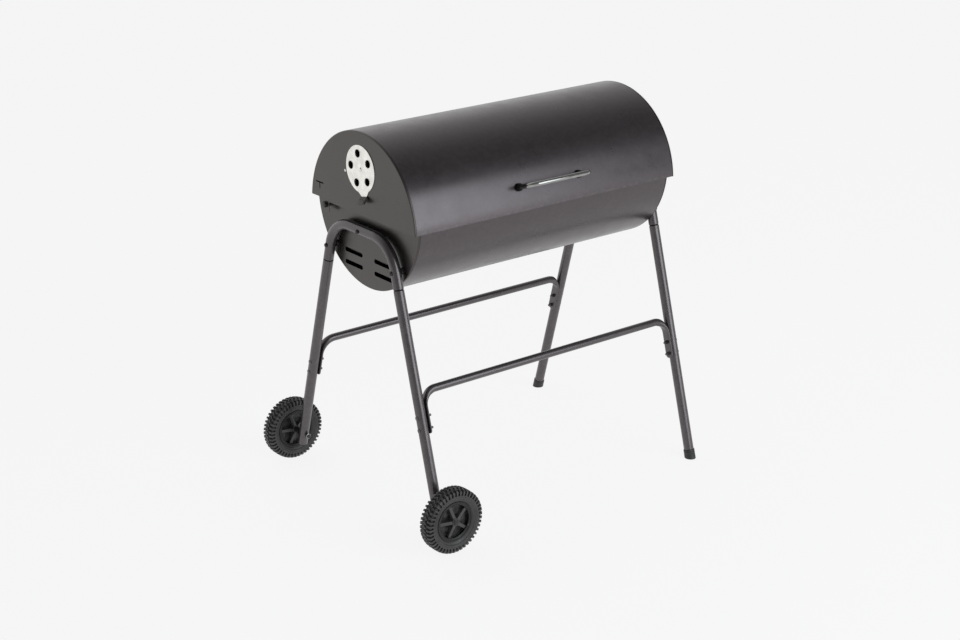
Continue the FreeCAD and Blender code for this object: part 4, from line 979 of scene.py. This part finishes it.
def tyre(row, centre):
    """Chevron lugs across the crown, deeper blocks round the shoulders and ridged side walls."""
    half = tyre_section()
    section = [(-w, r, t) for w, r, t in half[:0:-1]] + half
    rings = []
    for lug in range(LUGS):
        for step, top in LUG_STEPS:
            ring = []
            for w, r, share in section:
                swing = CHEVRON * min(abs(w), CHEVRON_HALF) / CHEVRON_HALF
                a = TURN * (lug + step + swing) / LUGS
                drop = LUG_DEEP * (1 if abs(w) > BLOCK_START else CROWN_SHARE) * (1 - top) * share
                lean = max(0.0, (abs(w) - SHOULDER) / (WHEEL_HALF - SHOULDER))
                across = w - math.copysign(drop * lean * WALL_SHARE, w)
                size = r - drop * (1 - lean * WALL_KEEP)
                ring.append((size * math.cos(a), across, size * math.sin(a)))
            rings.append(ring)
    mesh = moved(skin(f"{row}_tyre", rings, closed_ends=True), Matrix.Translation(centre))
    piece(f"{row}_tyre", mesh, TYRE, f"wheel_{row}", "tyre_plastic", f"tyre_{row}", angle=28)


RIB_TURN = math.radians(56)
RIB_COUNT, RIB_HALF, RIB_SOFT = 5, 0.004, 0.0009
HUB_HALF, HUB_WALL, HUB_SOFT = 0.0165, 0.0038, 0.0008
WEB_HALF, BEAD_START = 0.002, 0.0015


def wheel_hub(row, centre):
    """Rim with its flanges and beads, flat web, tapered boss and five ribs on both faces."""
    wall = HUB_WALL
    rim = rounded([(RIM_R - wall, -HUB_HALF), (RIM_R - 0.0002, -HUB_HALF), (RIM_R - 0.0002, HUB_HALF),
                   (RIM_R - wall, HUB_HALF)], HUB_SOFT, 3)
    web = [(0.0075, -WEB_HALF), (RIM_R - wall * 0.6, -WEB_HALF), (RIM_R - wall * 0.6, WEB_HALF),
           (0.0075, WEB_HALF)]
    bead = rounded([(RIM_R - 0.0075, 0), (RIM_R - wall * 0.8, 0), (RIM_R - wall * 0.8, 0.004),
                    (RIM_R - 0.0075, 0.0028)], 0.0006, 2)
    flange = rounded([(0.0415, 0.0112), (RIM_R - wall * 0.5, 0.0122), (RIM_R - wall * 0.5, 0.016),
                      (0.0455, 0.0152), (0.0415, 0.0132)], 0.0005, 2)
    boss = rounded([(0.0052, 0.001), (0.0135, 0.001), (0.0098, 0.0185), (0.0052, 0.0185)], 0.0012, 4)
    outline = [(0.0085, 0.001), (RIM_R - wall * 0.7, 0.001), (RIM_R - wall * 0.7, 0.0105),
               (0.036, 0.0112), (0.02, 0.0145), (0.0085, 0.0172)]
    parts, ribs = [lathe("rim", rim, 96), lathe("web", web, 96)], []
    for sign in (-1, 1):
        parts.append(lathe("bead", [(r, sign * (BEAD_START + h)) for r, h in bead], 96))
        parts.append(lathe("flange", [(r, sign * h) for r, h in flange], 96))
        ribs.append(lathe("boss", [(r, sign * h) for r, h in boss], 48))
        for k in range(RIB_COUNT):
            rib = [[(x, sign * h, r) for r, h in outline] for x in (-RIB_HALF, RIB_HALF)]
            work = opened(skin("rib", rib))
            bmesh.ops.bevel(work, geom=work.edges[:], offset=RIB_SOFT, segments=2, affect="EDGES",
                            profile=0.5)
            ribs.append(moved(finish_mesh("rib", work),
                              Matrix.Rotation(TURN * k / RIB_COUNT + RIB_TURN, 4, "Y")))
    # The hub takes the darker copy of the plastic as painted shade in its recess, the ribs the lighter
    # copy as painted highlight.
    mesh = moved(joined(f"{row}_hub", parts), Matrix.Translation(centre))
    piece(f"{row}_wheel_hub", mesh, SHADED_HUB, f"wheel_{row}", "hub_plastic", f"wheel_hub_{row}")
    mesh = moved(joined(f"{row}_ribs", ribs), Matrix.Translation(centre))
    piece(f"{row}_wheel_ribs", mesh, LIT_RIBS, f"wheel_{row}", "hub_plastic")


AXLE_R, AXLE_HEAD, AXLE_HEAD_R = 0.005, 0.0021, 0.0074
BUSH_R, BUSH_WAIST = 0.0085, 0.0072


def axle(row, across):
    """Axle bolt with a small domed head, and the waisted bush between the wheel and the leg."""
    low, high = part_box(f"axle_bolt_{row}")
    outer, inner = (low.y, high.y) if across < 0 else (high.y, low.y)
    x, z = (low.x + high.x) / 2, (low.z + high.z) / 2
    out = Vector((0, across, 0))
    start = Vector((x, outer, z)) - out * AXLE_HEAD
    parts = [shank("axle_shank", start, Vector((x, inner, z)), AXLE_R),
             round_head("axle_head", start, out, AXLE_HEAD_R, AXLE_HEAD)]
    piece(f"{row}_axle", joined(f"{row}_axle", parts), STEEL, "frame", "black_steel", f"axle_bolt_{row}")
    low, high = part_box(f"axle_bush_{row}")
    near = high.y if across < 0 else low.y
    length = high.y - low.y
    bush = rounded([(AXLE_R + FIT, 0), (BUSH_R, 0), (BUSH_WAIST, length * 0.3),
                    (BUSH_WAIST, length * 0.75), (BUSH_R, length), (AXLE_R + FIT, length)], 0.0005, 2)
    mesh = moved(lathe("bush", bush, 40, "X"), about(out, Vector((x, near, z))))
    piece(f"{row}_axle_spacer", mesh, PLASTIC, "frame", "black_plastic", f"axle_bush_{row}")


def wheels():
    for row, across in ROWS:
        centre = middle(f"tyre_{row}")
        tyre(row, centre)
        wheel_hub(row, centre)
        axle(row, across)
    lock_nuts = [hex_head("nut", low, high, Vector((0, 1 if high.y < 0 else -1, 0)))
                 for low, high in solids("axle_nuts")]
    piece("axle_lock_nuts", joined("axle_lock_nuts", lock_nuts), ZINC, "frame", "zinc", "axle_nuts")


# ---- grates
GRATE_BEND = 0.006
ROD_STEPS, TIE_SHARE = 16, 0.9
WIRE_REACH, WIRE_ROUND = 0.6, 0.4


def grate(node, body, material, slot, pitch, wire, rod):
    """A rod frame with bent corners and wires laid across it, each wire end dressed round."""
    low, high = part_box(node)
    level = low.z + rod
    left, right, front, rear = low.x + rod, high.x - rod, low.y + rod, high.y - rod
    ring = [Vector((x, y, level)) for x, y in rounded([(left, front), (right, front), (right, rear),
                                                       (left, rear)], GRATE_BEND, 6)]
    rings = []
    for i, p in enumerate(ring):
        ahead = (ring[(i + 1) % len(ring)] - ring[i - 1]).normalized()
        across = ahead.cross(UP)
        rings.append([p + (across * math.cos(a) + UP * math.sin(a)) * rod for a in turns(ROD_STEPS)])
    parts = [skin("frame", rings, closed_ends=True)]
    for sign in (-1, 1):
        ends = [Vector((x, sign * rear / 3, level)) for x in (left, right)]
        parts.append(tube("tie", ends, rod * TIE_SHARE, side=UP, segments=ROD_STEPS))
    count = int((right - left) // pitch)
    start = (left + right) / 2 - (count - 1) / 2 * pitch
    for k in range(count):
        x = start + k * pitch
        ends = [Vector((x, y, high.z - wire)) for y in (front - rod * WIRE_REACH, rear + rod * WIRE_REACH)]
        parts.append(tube("wire", ends, wire, side=UP, segments=12, lip=wire * WIRE_ROUND))
    piece(f"{node}_wires", joined(node, parts), material, body, slot, node)


def grates():
    for side, _ in SIDES:
        grate(f"cooking_grate_{side}", f"cooking_{side}", WIRE, "grate_wire", 0.0155, 0.002, 0.003)
        grate(f"charcoal_grate_{side}", f"coals_{side}", COALS, "coal_wire", 0.026, 0.003, 0.003)


# ---- CAD nodes that keep their shape
def kept_nodes():
    for node, material in (("grate_ledge_front", BARREL), ("grate_ledge_rear", BARREL),
                           ("hinge_spacers", ZINC), ("arch_spacers", PLASTIC)):
        for slot in nodes[node].material_slots:
            slot.material = material
        nodes[node].data.set_sharp_from_angle(angle=math.radians(SHARP))


# ---- studio
CAMERA_PLACE = Vector((-2.732, -3.4761, 2.0447))
CAMERA_YAW = 0.66288
CAMERA_PITCH = -0.35801
CAMERA_ROLL = 0.00192
CAMERA_LENS, CAMERA_SENSOR, CAMERA_REACH = 70.34, 36, 200
AIM = Vector((0, 0, 0.45))
LAMP_PLACE = (0.95, -3.6, 1.55)
LAMP_WIDE, LAMP_HIGH, LAMP_RADIANCE = 3.1, 2.8, 3.0
LAMP_TINT = (0.9, 0.97, 1.0)


def camera():
    data = bpy.data.cameras.new("camera")
    data.lens = CAMERA_LENS
    data.sensor_width = CAMERA_SENSOR
    data.clip_end = CAMERA_REACH
    thing = added("camera", data)
    turn = (Matrix.Rotation(-CAMERA_YAW, 4, "Z") @ Matrix.Rotation(math.pi / 2 + CAMERA_PITCH, 4, "X")
            @ Matrix.Rotation(-CAMERA_ROLL, 4, "Z"))
    thing.matrix_world = Matrix.Translation(CAMERA_PLACE) @ turn
    bpy.context.scene.camera = thing


def softbox(name, place, width, height, radiance, tint):
    """A rectangular lamp turned to face the grill, of an even brightness."""
    data = bpy.data.lights.new(name, "AREA")
    data.shape = "RECTANGLE"
    data.size = width
    data.size_y = height
    data.energy = radiance * math.pi * width * height
    data.color = tint
    thing = added(name, data)
    thing.location = place
    thing.rotation_euler = (AIM - Vector(place)).to_track_quat("-Z", "Y").to_euler()


FLOOR_REACH = 40
FLOOR_GREY = 0.09
FLOOR_GLOW = 0.87
FLOOR_ROUGH = 0.8


def floor():
    work = bmesh.new()
    bmesh.ops.create_circle(work, cap_ends=True, segments=96, radius=FLOOR_REACH)
    mesh = finish_mesh("floor", work)
    material, _, shader = new_material("pale_floor", (FLOOR_GREY,) * 3, FLOOR_ROUGH, specular=0)
    shader.inputs["Emission Color"].default_value = (1, 1, 1, 1)
    shader.inputs["Emission Strength"].default_value = FLOOR_GLOW
    mesh.materials.append(material)
    added("floor", mesh)


SKY_STOPS = ((-1, 0.3), (-0.65, 0.3), (-0.3, 0.18), (0.05, 0.3), (0.35, 0.56), (0.58, 0.72), (0.76, 1))


def sky():
    """A studio whose walls and ceiling are bright behind the grill and dim in front of it."""
    world = bpy.data.worlds.new("studio")
    bpy.context.scene.world = world
    world.use_nodes = True
    tree = world.node_tree
    back = tree.nodes["Background"]
    back.inputs["Color"].default_value = (1, 1, 1, 1)
    place = tree.nodes.new("ShaderNodeTexCoord")
    split = tree.nodes.new("ShaderNodeSeparateXYZ")
    tree.links.new(place.outputs["Generated"], split.inputs["Vector"])
    ramp = tree.nodes.new("ShaderNodeValToRGB")
    tree.links.new(span(tree, split.outputs["Y"], 0, 1, -1, 1), ramp.inputs["Fac"])
    tree.links.new(ramp.outputs["Color"], back.inputs["Strength"])
    elements = ramp.color_ramp.elements
    elements.remove(elements[-1])
    elements[0].color = (SKY_STOPS[0][1],) * 3 + (1,)
    for depth, grey in SKY_STOPS[1:]:
        elements.new((depth + 1) / 2).color = (grey,) * 3 + (1,)


lid()
handle()
damper()
bowl()
legs()
for row_name, row_sign in ROWS:
    stretcher(row_name, row_sign)
fasteners()
wheels()
grates()
kept_nodes()
camera()
floor()
sky()
softbox("front", LAMP_PLACE, LAMP_WIDE, LAMP_HIGH, LAMP_RADIANCE, LAMP_TINT)
bpy.context.scene.view_settings.view_transform = "Standard"
